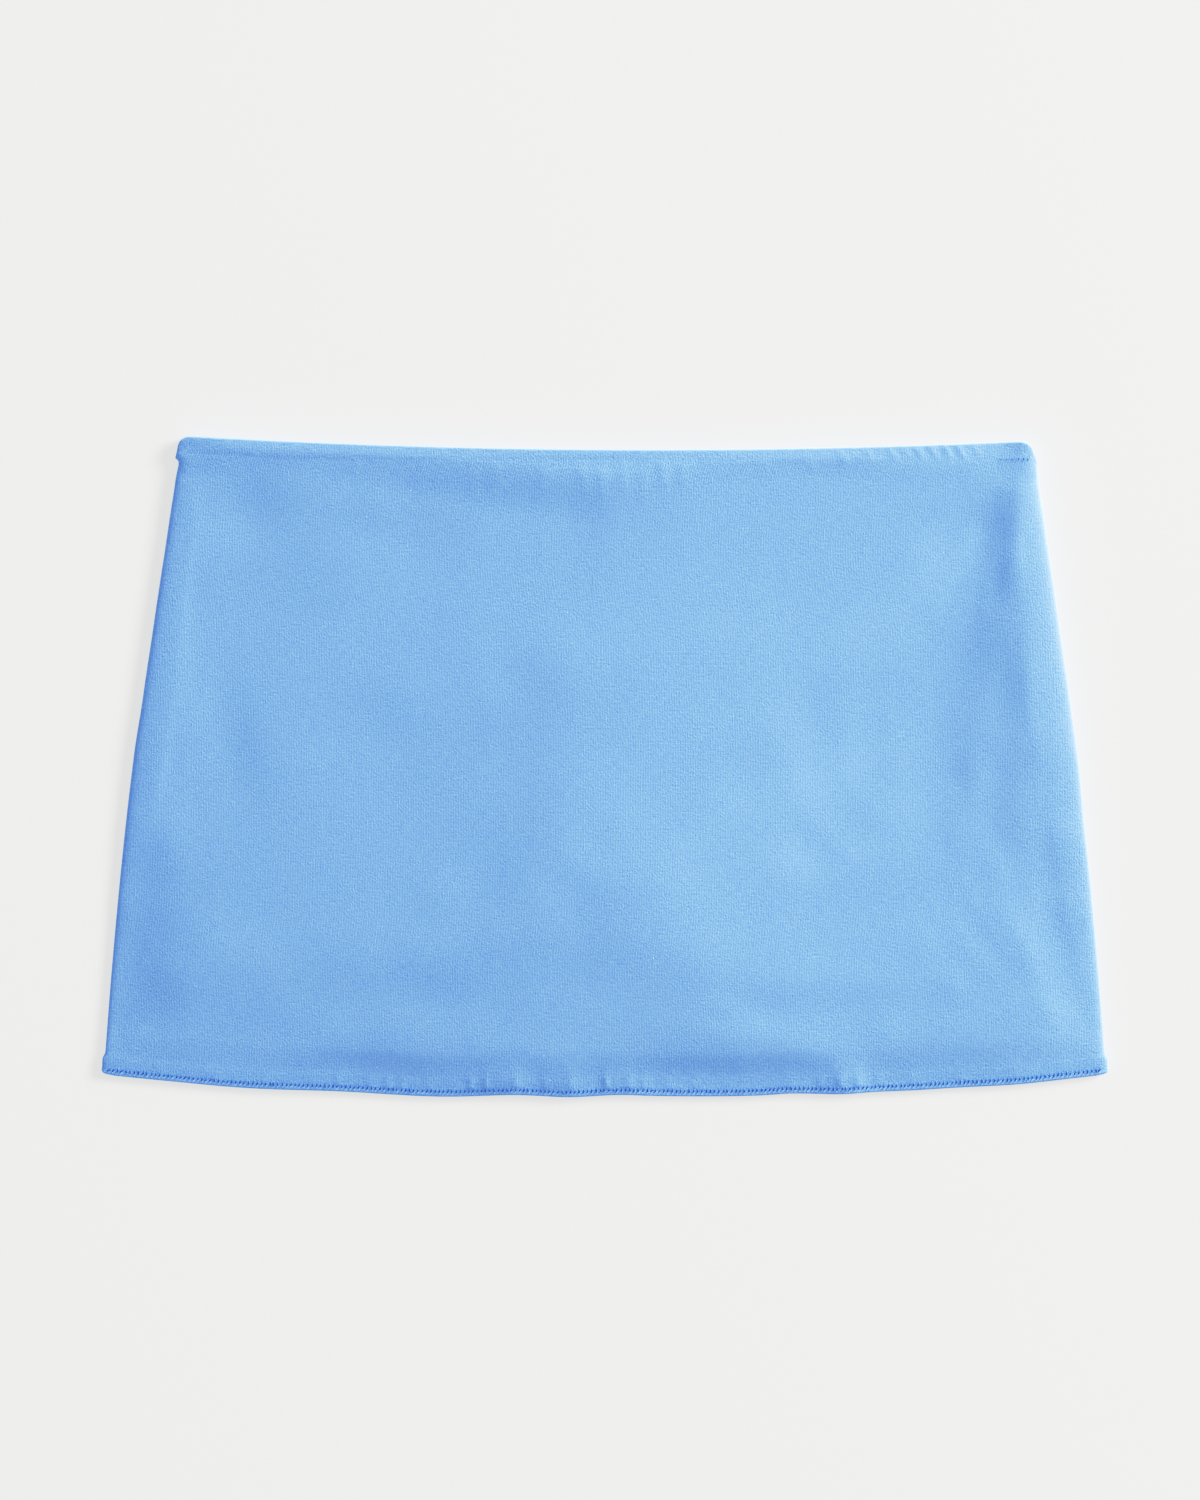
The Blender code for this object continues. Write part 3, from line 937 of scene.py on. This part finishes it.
def heathered_yarn():
    """Place is in millimetres on the cloth."""
    group, given, made = new_group(
        "heathered yarn",
        (
            ("Place", "NodeSocketVector", None),
            ("Middle", "NodeSocketColor", (0.24, 0.5, 0.8, 1.0)),
            ("Pale", "NodeSocketColor", (0.4, 0.66, 0.9, 1.0)),
            ("Deep", "NodeSocketColor", (0.15, 0.4, 0.75, 1.0)),
            ("Fleck", "NodeSocketFloat", 1.4),
            ("Strength", "NodeSocketFloat", 1.0),
            ("Lint", "NodeSocketFloat", 1.0),
        ),
        (("Color", "NodeSocketColor"), ("Roughness", "NodeSocketFloat"), ("Height", "NodeSocketFloat")),
    )
    place = given.outputs["Place"]
    per_fleck = maths(group, "DIVIDE", 1.0, given.outputs["Fleck"])
    fleck = noise(group, place, per_fleck, 2.5, 0.62)
    rows = noise(group, stretched(group, place, (0.22, 1.5, 1.0)), 1.0, 1.0, 0.5)
    columns = noise(group, stretched(group, place, (1.5, 0.25, 1.0)), 1.0, 1.0, 0.5)
    cloud = noise(group, place, 0.045, 2.0, 0.5)
    total = maths(group, "ADD", fleck, -0.5)
    for part, share in ((rows, 0.5), (columns, 0.4), (cloud, 0.08)):
        total = maths(group, "MULTIPLY_ADD", maths(group, "SUBTRACT", part, 0.5), share, total)
    total = maths(group, "MULTIPLY", total, given.outputs["Strength"])
    pale_share = maths(group, "MULTIPLY", total, 2.4, clamp=True)
    deep_share = maths(group, "MULTIPLY", total, -2.4, clamp=True)
    tint = mixed(group, pale_share, given.outputs["Middle"], given.outputs["Pale"])
    tint = mixed(group, deep_share, tint, given.outputs["Deep"])
    dots = group.nodes.new("ShaderNodeTexVoronoi")
    put(group, dots.inputs["Vector"], place)
    dots.inputs["Scale"].default_value = 0.11
    speck = ranged(group, dots.outputs["Distance"], 0.018, 0.036, 1.0, 0.0)
    gate = ranged(group, noise(group, place, 0.05, 0.0, 0.5), 0.5, 0.56, 0.0, 1.0)
    lint = maths(group, "MULTIPLY", speck, gate)
    lint = maths(group, "MULTIPLY", lint, given.outputs["Lint"], clamp=True)
    tint = mixed(group, lint, tint, LINT_COLOUR)
    put(group, made.inputs["Color"], tint)
    put(group, made.inputs["Roughness"], ranged(group, fleck, 0.2, 0.8, 0.98, 0.86))
    put(group, made.inputs["Height"], maths(group, "ADD", fleck, maths(group, "MULTIPLY", lint, 0.5)))
    return group


YARN = heathered_yarn()
print("heathered yarn nodes:", len(YARN.nodes))

# %% [markdown]
# ## Jersey stitches
#
# The right side of jersey is columns of small V stitches. At 0.8 mm they are felt more than seen.
# Each column is a round rib, and the V comes from a wave that runs up both slopes of the rib. A
# little noise moves the place first, because a knit is never quite regular, and a regular pattern
# this fine would shimmer in a picture.

# %% Jersey group
def jersey_stitches():
    group, given, made = new_group(
        "jersey stitches",
        (
            ("Place", "NodeSocketVector", None),
            ("Column", "NodeSocketFloat", 0.8),
            ("Row", "NodeSocketFloat", 0.62),
            ("Wander", "NodeSocketFloat", 0.35),
        ),
        (("Height", "NodeSocketFloat"),),
    )
    place = given.outputs["Place"]
    drift = group.nodes.new("ShaderNodeVectorMath")
    drift.operation = "MULTIPLY_ADD"
    put(group, drift.inputs[0], noise(group, place, 0.35, 2.0, 0.6, colour=True))
    spread = group.nodes.new("ShaderNodeCombineXYZ")
    for socket in spread.inputs:
        put(group, socket, given.outputs["Wander"])
    put(group, drift.inputs[1], spread.outputs[0])
    put(group, drift.inputs[2], place)
    parts = group.nodes.new("ShaderNodeSeparateXYZ")
    put(group, parts.inputs[0], drift.outputs[0])
    beside = maths(group, "FRACT", maths(group, "DIVIDE", parts.outputs["X"], given.outputs["Column"]))
    beside = maths(group, "ABSOLUTE", maths(group, "SUBTRACT", beside, 0.5))
    rib = maths(group, "SUBTRACT", 1.0, maths(group, "MULTIPLY", maths(group, "POWER", beside, 2.0), 4.0))
    climb = maths(group, "DIVIDE", parts.outputs["Y"], given.outputs["Row"])
    climb = maths(group, "MULTIPLY_ADD", beside, -1.1, climb)
    wave = maths(group, "SINE", maths(group, "MULTIPLY", climb, 2.0 * np.pi))
    loops = maths(group, "MULTIPLY_ADD", wave, 0.3, 0.7)
    put(group, made.inputs["Height"], maths(group, "MULTIPLY", rib, loops))
    return group


JERSEY = jersey_stitches()
print("jersey nodes:", len(JERSEY.nodes))

# %% [markdown]
# ## The cloth and thread materials
#
# Both cloths are rough with a soft sheen, which is the nap that catches light where the cloth turns
# away. The hem is the same jersey pressed in two layers, a shade deeper. The thread is the darkest
# blue on the skirt and smoother than the knit. The place on the cloth comes from a UV map in metres,
# so the columns of stitches follow the cloth round its side folds.

# %% Materials
CLOTH_MAP = "cloth_place"
SHEEN = 0.22
SHEEN_ROUGH = 0.45
SHEEN_TINT = (0.86, 0.94, 1.0, 1.0)
CLOTH_SPECULAR = 0.2
FLECK = 1.0
FLECK_STRENGTH = 1.05
BUMP_STRENGTH = 0.6
KNIT_HIGH = 0.1 * MM
FLECK_HIGH = 0.34 * MM
KNITS = (
    # name, middle, pale, deep
    ("blue_jersey", (0.289, 0.471, 0.886), (0.375, 0.575, 0.95), (0.21, 0.375, 0.8)),
    ("hem_jersey", (0.279, 0.461, 0.876), (0.365, 0.565, 0.94), (0.2, 0.365, 0.79)),
)


def cloth_place(tree):
    """The place on the cloth in millimetres."""
    spot = tree.nodes.new("ShaderNodeUVMap")
    spot.uv_map = CLOTH_MAP
    return stretched(tree, spot.outputs["UV"], (1000.0, 1000.0, 1.0))


def use_group(tree, group, values):
    node = tree.nodes.new("ShaderNodeGroup")
    node.node_tree = group
    for label, value in values.items():
        put(tree, node.inputs[label], value)
    return node


def bumped(tree, height, strength, distance, under=None):
    node = tree.nodes.new("ShaderNodeBump")
    node.inputs["Strength"].default_value = strength
    node.inputs["Distance"].default_value = distance
    put(tree, node.inputs["Height"], height)
    if under is not None:
        put(tree, node.inputs["Normal"], under)
    return node.outputs["Normal"]


def knit_material(name, middle, pale, deep):
    material = bpy.data.materials.new(name)
    material.use_nodes = True
    tree = material.node_tree
    shader = tree.nodes["Principled BSDF"]
    place = cloth_place(tree)
    colours = {"Middle": (*middle, 1.0), "Pale": (*pale, 1.0), "Deep": (*deep, 1.0)}
    yarn = use_group(tree, YARN, {"Place": place, "Fleck": FLECK, "Strength": FLECK_STRENGTH, **colours})
    stitches = use_group(tree, JERSEY, {"Place": place})
    normal = bumped(tree, stitches.outputs["Height"], BUMP_STRENGTH, KNIT_HIGH)
    normal = bumped(tree, yarn.outputs["Height"], BUMP_STRENGTH, FLECK_HIGH, normal)
    put(tree, shader.inputs["Base Color"], yarn.outputs["Color"])
    put(tree, shader.inputs["Roughness"], yarn.outputs["Roughness"])
    put(tree, shader.inputs["Normal"], normal)
    shader.inputs["Specular IOR Level"].default_value = CLOTH_SPECULAR
    shader.inputs["Sheen Weight"].default_value = SHEEN
    shader.inputs["Sheen Roughness"].default_value = SHEEN_ROUGH
    shader.inputs["Sheen Tint"].default_value = SHEEN_TINT
    return material


BODY_KNIT, HEM_KNIT = (knit_material(*knit) for knit in KNITS)
print("cloths:", BODY_KNIT.name, HEM_KNIT.name)

# %% [markdown]
# ## From points to cloth shells
#
# A shell is a closed loop of rows: down the outer face, round the edge and back up the inner face.
# Rows of points make clean quads, where a solidified plane would have to be bent twice. The rims are
# marked sharp, so the smooth shading of the outer face isn't pulled over them, and two shells that
# meet look like one cloth.

# %% Shell builder
SHARP = np.radians(50.0)
EDGE_STEPS = 9


def across_stations(front, flat_steps, turn_steps, seam_steps):
    flat = np.linspace(-1.0, 1.0, flat_steps + 1)
    turn = 1.0 + np.arange(1, turn_steps + 1) / turn_steps
    if front:
        turn = np.concatenate((turn, 2.0 + np.arange(1, seam_steps + 1) / seam_steps))
    return np.concatenate((-turn[::-1], flat, turn))


def wall_loops(stations, rows, front):
    outer = skin(stations[None, :], rows[:, None], 0.0, front)
    inner = skin(stations[None, :], rows[:, None], 1.0, front)
    return np.concatenate((outer, inner[::-1]))


def edged_loops(stations, rows, edge_down, front):
    """A stretch that ends in a folded edge: along its outer face to the edge, round it, and back."""
    outer = skin(stations[None, :], rows[:, None], 0.0, front)
    inner = skin(stations[None, :], rows[:, None], 1.0, front)
    tip = skin(stations, np.full_like(stations, edge_down), 0.5, front)
    middle = 0.5 * (outer[-1] + inner[-1])
    reach = tip - middle
    reach[:, (0, 2)] = 0.0
    half = 0.5 * (outer[-1] - inner[-1])
    angles = np.pi * np.arange(1, EDGE_STEPS + 1) / (EDGE_STEPS + 1)
    turn = [middle + half * np.cos(angle) + reach * np.sin(angle) for angle in angles]
    return np.concatenate((outer, np.array(turn), inner[::-1]))


def loop_faces(count, wide):
    """Quads round the loops and along them, and the strips that close both ends."""
    grid = np.arange(count * wide).reshape(count, wide)
    after = np.roll(grid, -1, axis=0)
    quads = np.stack((grid[:, :-1], grid[:, 1:], after[:, 1:], after[:, :-1]), axis=-1).reshape(-1, 4)
    faces = quads.tolist()
    for end in (0, wide - 1):
        for i in range(count // 2 - 1 + count % 2):
            pair = dict.fromkeys((i, i + 1, count - 2 - i, count - 1 - i))
            faces.append([int(grid[row, end]) for row in pair])
    return faces


def cloth_lengths(loops):
    """How far each point is along its row from the middle column, and each row round its loop."""
    steps = np.linalg.norm(np.diff(loops, axis=1), axis=-1)
    along = np.concatenate((np.zeros((len(loops), 1)), np.cumsum(steps, axis=1)), axis=1)
    along -= along[:, [loops.shape[1] // 2]]
    column_points = loops[:, loops.shape[1] // 2]
    hops = np.linalg.norm(column_points - np.roll(column_points, -1, axis=0), axis=-1)
    return along, np.concatenate(((0.0,), np.cumsum(hops)))


def cloth_shell(name, loops, material, first_down):
    count, wide, _ = loops.shape
    mesh = bpy.data.meshes.new(name)
    mesh.from_pydata(loops.reshape(-1, 3).tolist(), [], loop_faces(count, wide))
    along, round_loop = cloth_lengths(loops)
    corner = np.zeros(len(mesh.loops), dtype=np.int32)
    mesh.loops.foreach_get("vertex_index", corner)
    u = along.reshape(-1)[corner]
    v = -(first_down + round_loop[corner // wide])
    closing = np.arange(len(mesh.loops)) // 4 >= (count - 1) * (wide - 1)
    v = np.where(closing & (corner < wide), -(first_down + round_loop[-1]), v)
    mesh.uv_layers.new(name=CLOTH_MAP)
    mesh.uv_layers[CLOTH_MAP].data.foreach_set("uv", np.stack((u, v), axis=-1).reshape(-1))
    outwards = bmesh.new()
    outwards.from_mesh(mesh)
    bmesh.ops.recalc_face_normals(outwards, faces=outwards.faces)
    outwards.to_mesh(mesh)
    outwards.free()
    mesh.shade_smooth()
    mesh.set_sharp_from_angle(angle=SHARP)
    mesh.materials.append(material)
    piece = bpy.data.objects.new(name, mesh)
    bpy.context.scene.collection.objects.link(piece)
    print(name, "faces:", len(mesh.polygons))
    return piece


# %% [markdown]
# ## The two panels
#
# The front panel carries all the folds, so it gets a point every 2 mm. The back lies flat on the
# table, and a coarser net is enough for it. The rows are closer near the waist and the hem, where
# the cloth bends most.

# %% Front and back panel
def panel_rows(steps):
    even = np.linspace(0.0, 1.0, steps + 1)
    first, last = ROLL_TALL / LENGTH, 1.0 - HEM_TALL / LENGTH
    return first + (last - first) * (even + smooth(even)) / 2


front_panel = cloth_shell(
    "front_panel_jersey",
    wall_loops(across_stations(True, 230, 12, 5), panel_rows(146), True),
    BODY_KNIT,
    ROLL_TALL,
)
back_panel = cloth_shell(
    "back_panel_jersey",
    wall_loops(across_stations(False, 120, 10, 0), panel_rows(74), False),
    BODY_KNIT,
    ROLL_TALL,
)

# %% [markdown]
# ## The waist roll
#
# At the top the cloth is turned over a narrow elastic and stitched inside, so outside it shows as a
# smooth roll that only its puckers and the step at its foot give away. A point every millimetre along
# it keeps the puckers round.

# %% Front and back waist roll
ROLL_ROWS = np.linspace(ROLL_TALL, 0.9 * MM, 13)
front_roll = cloth_shell(
    "front_waist_roll_jersey",
    edged_loops(across_stations(True, 430, 14, 5), ROLL_ROWS / LENGTH, 0.0, True),
    BODY_KNIT,
    0.0,
)
back_roll = cloth_shell(
    "back_waist_roll_jersey",
    edged_loops(across_stations(False, 210, 10, 0), ROLL_ROWS / LENGTH, 0.0, False),
    BODY_KNIT,
    0.0,
)

# %% [markdown]
# ## The turned hem
#
# The hem is turned up and overlocked. A point every half millimetre lets each stitch press its own
# dimple into the furrow, which a bump map couldn't do along the edge that is seen in profile.

# %% Front and back hem
HEM_ROWS = np.concatenate((np.linspace(HEM_TALL, 5.4 * MM, 5)[:-1], np.linspace(5.4 * MM, 0.5 * MM, 13)))
front_hem = cloth_shell(
    "front_hem_jersey",
    edged_loops(across_stations(True, 920, 18, 6), 1.0 - HEM_ROWS / LENGTH, 1.0, True),
    HEM_KNIT,
    LENGTH - HEM_TALL,
)
back_hem = cloth_shell(
    "back_hem_jersey",
    edged_loops(across_stations(False, 470, 14, 0), 1.0 - HEM_ROWS / LENGTH, 1.0, False),
    HEM_KNIT,
    LENGTH - HEM_TALL,
)

# %% [markdown]
# ## The overlock stitches
#
# Along the furrow runs a ladder of short bars of dark thread, one every 2 mm. They lean to the right
# as they climb, though never all the same, because the knit gives under the needle. Each bar is a
# small bent capsule that dives into the cloth at both ends. Their places come from the skin itself,
# so they ride every wave of the hem. Under the skirt they are sunk, so that it still lies flat.

# %% Thread material
THREAD_MIDDLE = (0.07, 0.2, 0.55)
THREAD_PALE = (0.14, 0.3, 0.65)
THREAD_DEEP = (0.04, 0.15, 0.48)


def thread_material():
    material = bpy.data.materials.new("dark_blue_thread")
    material.use_nodes = True
    tree = material.node_tree
    shader = tree.nodes["Principled BSDF"]
    place = cloth_place(tree)
    colours = {"Middle": (*THREAD_MIDDLE, 1.0), "Pale": (*THREAD_PALE, 1.0), "Deep": (*THREAD_DEEP, 1.0)}
    yarn = use_group(tree, YARN, {"Place": place, "Fleck": 2.6, "Strength": 1.3, "Lint": 0.0, **colours})
    twist = tree.nodes.new("ShaderNodeTexWave")
    twist.inputs["Scale"].default_value = 0.9
    twist.inputs["Distortion"].default_value = 1.0
    twist.bands_direction = "DIAGONAL"
    put(tree, twist.inputs["Vector"], place)
    put(tree, shader.inputs["Base Color"], yarn.outputs["Color"])
    put(tree, shader.inputs["Roughness"], ranged(tree, twist.outputs["Fac"], 0.0, 1.0, 0.55, 0.7))
    put(tree, shader.inputs["Normal"], bumped(tree, twist.outputs["Fac"], 0.5, 0.05 * MM))
    shader.inputs["Sheen Weight"].default_value = 0.2
    shader.inputs["Sheen Roughness"].default_value = SHEEN_ROUGH
    return material


THREAD = thread_material()
print("thread:", THREAD.name)

# %% Bars of thread
BAR_SIDES = 6
BAR_RINGS = 6
BAR_ARCH = 0.75
BAR_DIVE = 0.45
BAR_TIP = 0.45


def thread_bars(name, starts, ends, ups, thick):
    """One mesh of small bent capsules from each start to its end, arched along ups."""
    share = np.linspace(0.0, 1.0, BAR_RINGS)[None, :, None]
    centres = starts[:, None, :] * (1.0 - share) + ends[:, None, :] * share
    arch = np.sin(np.pi * share)
    run = ends - starts
    run = run / np.linalg.norm(run, axis=1, keepdims=True)
    out = ups / np.linalg.norm(ups, axis=1, keepdims=True)
    aside = np.cross(run, out)
    centres = centres + out[:, None, :] * (thick * BAR_ARCH * (arch - BAR_DIVE))
    radius = thick / 2 * (BAR_TIP + (1.0 - BAR_TIP) * np.sqrt(arch))
    angles = 2.0 * np.pi * np.arange(BAR_SIDES) / BAR_SIDES
    outward = out[:, None, :] * np.cos(angles)[None, :, None]
    around = outward + aside[:, None, :] * np.sin(angles)[None, :, None]
    points = centres[:, :, None, :] + around[:, None, :, :] * radius[:, :, None]
    count = len(starts)
    base = np.arange(count)[:, None, None] * BAR_RINGS * BAR_SIDES
    ring = np.arange(BAR_RINGS - 1)[None, :, None] * BAR_SIDES
    spoke = np.arange(BAR_SIDES)[None, None, :]
    after = (spoke + 1) % BAR_SIDES
    low = base + ring
    high = low + BAR_SIDES
    quads = np.stack((low + spoke, low + after, high + after, high + spoke), axis=-1)
    faces = quads.reshape(-1, 4).tolist()
    for bar in range(count):
        first = bar * BAR_RINGS * BAR_SIDES
        last = first + (BAR_RINGS - 1) * BAR_SIDES
        faces.append([first + i for i in reversed(range(BAR_SIDES))])
        faces.append([last + i for i in range(BAR_SIDES)])
    mesh = bpy.data.meshes.new(name)
    mesh.from_pydata(points.reshape(-1, 3).tolist(), [], faces)
    corner = np.zeros(len(mesh.loops), dtype=np.int32)
    mesh.loops.foreach_get("vertex_index", corner)
    flat = points.reshape(-1, 3)[:, :2]
    mesh.uv_layers.new(name=CLOTH_MAP)
    mesh.uv_layers[CLOTH_MAP].data.foreach_set("uv", flat[corner].reshape(-1))
    mesh.shade_smooth()
    mesh.materials.append(THREAD)
    piece = bpy.data.objects.new(name, mesh)
    bpy.context.scene.collection.objects.link(piece)
    print(name, "bars:", count, "faces:", len(mesh.polygons))
    return piece


# %% Ladder along the hem
BAR_LONG = 2.3 * MM
BAR_THICK = 0.64 * MM
BAR_LEAN = 0.75 * MM
BAR_ASIDE = 0.13 * MM
BAR_DRIFT = 0.12 * MM
BAR_SHORTEST = 0.82
BAR_LONGEST = 1.15
LEAN_SPREAD = 0.75
BESIDE = 0.6 * MM
FRONT_SINK = 0.75
BACK_SINK = 0.5 * MM
rng = np.random.default_rng(31)


def row_places(stations, above, front):
    """Points of the outer face at a distance above the hem's edge."""
    down = 1.0 - above / LENGTH
    return skin(stations, down, 0.0, front)


def hem_ladder(name, front, last_station):
    dense = np.linspace(-last_station, last_station, 6001)
    flat_along = row_places(dense, np.full_like(dense, STITCH_ROW), front)[:, 0]
    firsts = np.ceil(flat_along.min() / STITCH_PITCH) * STITCH_PITCH
    wanted = np.arange(firsts + STITCH_PITCH, flat_along.max() - STITCH_PITCH, STITCH_PITCH)
    wanted = wanted + rng.normal(0.0, BAR_ASIDE, len(wanted))
    at = np.interp(wanted, flat_along, dense)
    per_mm = np.interp(wanted, flat_along[1:], np.diff(dense) / np.maximum(np.diff(flat_along), 1e-7))
    long = BAR_LONG * rng.uniform(BAR_SHORTEST, BAR_LONGEST, len(at))
    lean = BAR_LEAN * rng.normal(1.0, LEAN_SPREAD, len(at)) * (1.0 if front else -1.0)
    drift = rng.normal(0.0, BAR_DRIFT, len(at))
    low = row_places(at - per_mm * lean / 2, STITCH_ROW - long / 2 + drift, front)
    high = row_places(at + per_mm * lean / 2, STITCH_ROW + long / 2 + drift, front)
    row = np.full_like(at, STITCH_ROW)
    beside = row_places(at + per_mm * BESIDE, row, front)
    other = row_places(at - per_mm * BESIDE, row, front)
    ups = np.cross(beside - other, high - low)
    sink = (row_places(at, row, front) - 0.5 * (low + high)) * FRONT_SINK
    if not front:
        ups = -ups
        sink = sink + (0.0, 0.0, BACK_SINK)
    return thread_bars(name, low + sink, high + sink, ups, BAR_THICK)


front_ladder = hem_ladder("front_hem_stitches", True, 1.75)
back_ladder = hem_ladder("back_hem_stitches", False, 1.0)

# %% [markdown]
# ## Tack stitches at the waist
#
# Near the right end of the roll the elastic is held by a short row of tacks. They are finer than the
# hem's bars and almost the colour of the cloth, so only a few of them show.

# %% Tacks
TACKS = (
    # across, below, long
    (189.5, 8.6, 0.7),
    (192.4, 8.7, 0.9),
    (195.4, 8.8, 1.1),
    (198.2, 8.8, 1.2),
    (200.6, 8.9, 1.4),
    (202.6, 8.9, 1.3),
)
TACK_THICK = 0.42 * MM
TACK_STEP = 0.004


def waist_tacks(name):
    across, below, long = (column(TACKS, number) for number in range(3))
    dense = np.linspace(0.5, 1.9, 3001)
    line = skin(dense, np.full_like(dense, below.mean() / LENGTH), 0.0, True)
    at = np.interp(across, line[:, 0], dense)
    high = skin(at, (below - long / 2) / LENGTH, 0.0, True)
    low = skin(at, (below + long / 2) / LENGTH, 0.0, True)
    beside = skin(at + TACK_STEP, below / LENGTH, 0.0, True)
    other = skin(at - TACK_STEP, below / LENGTH, 0.0, True)
    return thread_bars(name, low, high, np.cross(beside - other, high - low), TACK_THICK)


tacks = waist_tacks("waist_tack_stitches")

# %% [markdown]
# ## What each piece stands for
#
# Each shell takes the place of one solid of the imported skirt, and the sizes of its cut are printed
# below. Nothing moves against anything else, so all of them ride on the one body.

# %% Ride, replace and light
SHELLS = (
    (front_roll, "front_waist_roll", "knit"),
    (front_panel, "front_panel", "knit"),
    (front_hem, "front_hem", "hem_knit"),
    (back_roll, "back_waist_roll", "knit"),
    (back_panel, "back_panel", "knit"),
    (back_hem, "back_hem", "hem_knit"),
)


def cloth_area(piece):
    """The area of one layer of a shell."""
    return sum(face.area for face in piece.data.polygons) / 2


for piece, node, finish in SHELLS:
    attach(piece, "root")
    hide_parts(node)
    lit_cloth.objects.link(piece)
    print(piece.name, "one layer in square mm:", round(cloth_area(piece) / MM**2))
for piece in (front_ladder, back_ladder, tacks):
    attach(piece, "root")
    lit_cloth.objects.link(piece)

# %% Cut sizes of the sheets
SIDE_ALLOWANCE = 7.0 * MM
BACK_ALLOWANCE = 1.0 * MM
PANEL_LONG = LENGTH - ROLL_TALL - HEM_TALL
EDGE_CUT = 10.5 * MM


def declare(piece, top_wide, foot_wide, long):
    """Prints the flat cut, a trapezoid, as its top width, its foot width and its length."""
    print(piece.name, "cut in mm:", round(top_wide / MM), round(foot_wide / MM), round(long / MM, 1))


waist_wide, hem_wide = WAIST_ACROSS + SIDE_ALLOWANCE, HEM_ACROSS + SIDE_ALLOWANCE
back_waist_wide, back_hem_wide = WAIST_ACROSS + BACK_ALLOWANCE, HEM_ACROSS + BACK_ALLOWANCE
declare(front_roll, waist_wide, waist_wide, EDGE_CUT)
declare(front_panel, waist_wide, hem_wide, PANEL_LONG)
declare(front_hem, hem_wide, hem_wide, EDGE_CUT)
declare(back_roll, back_waist_wide, back_waist_wide, EDGE_CUT)
declare(back_panel, back_waist_wide, back_hem_wide, PANEL_LONG)
declare(back_hem, back_hem_wide, back_hem_wide, EDGE_CUT)
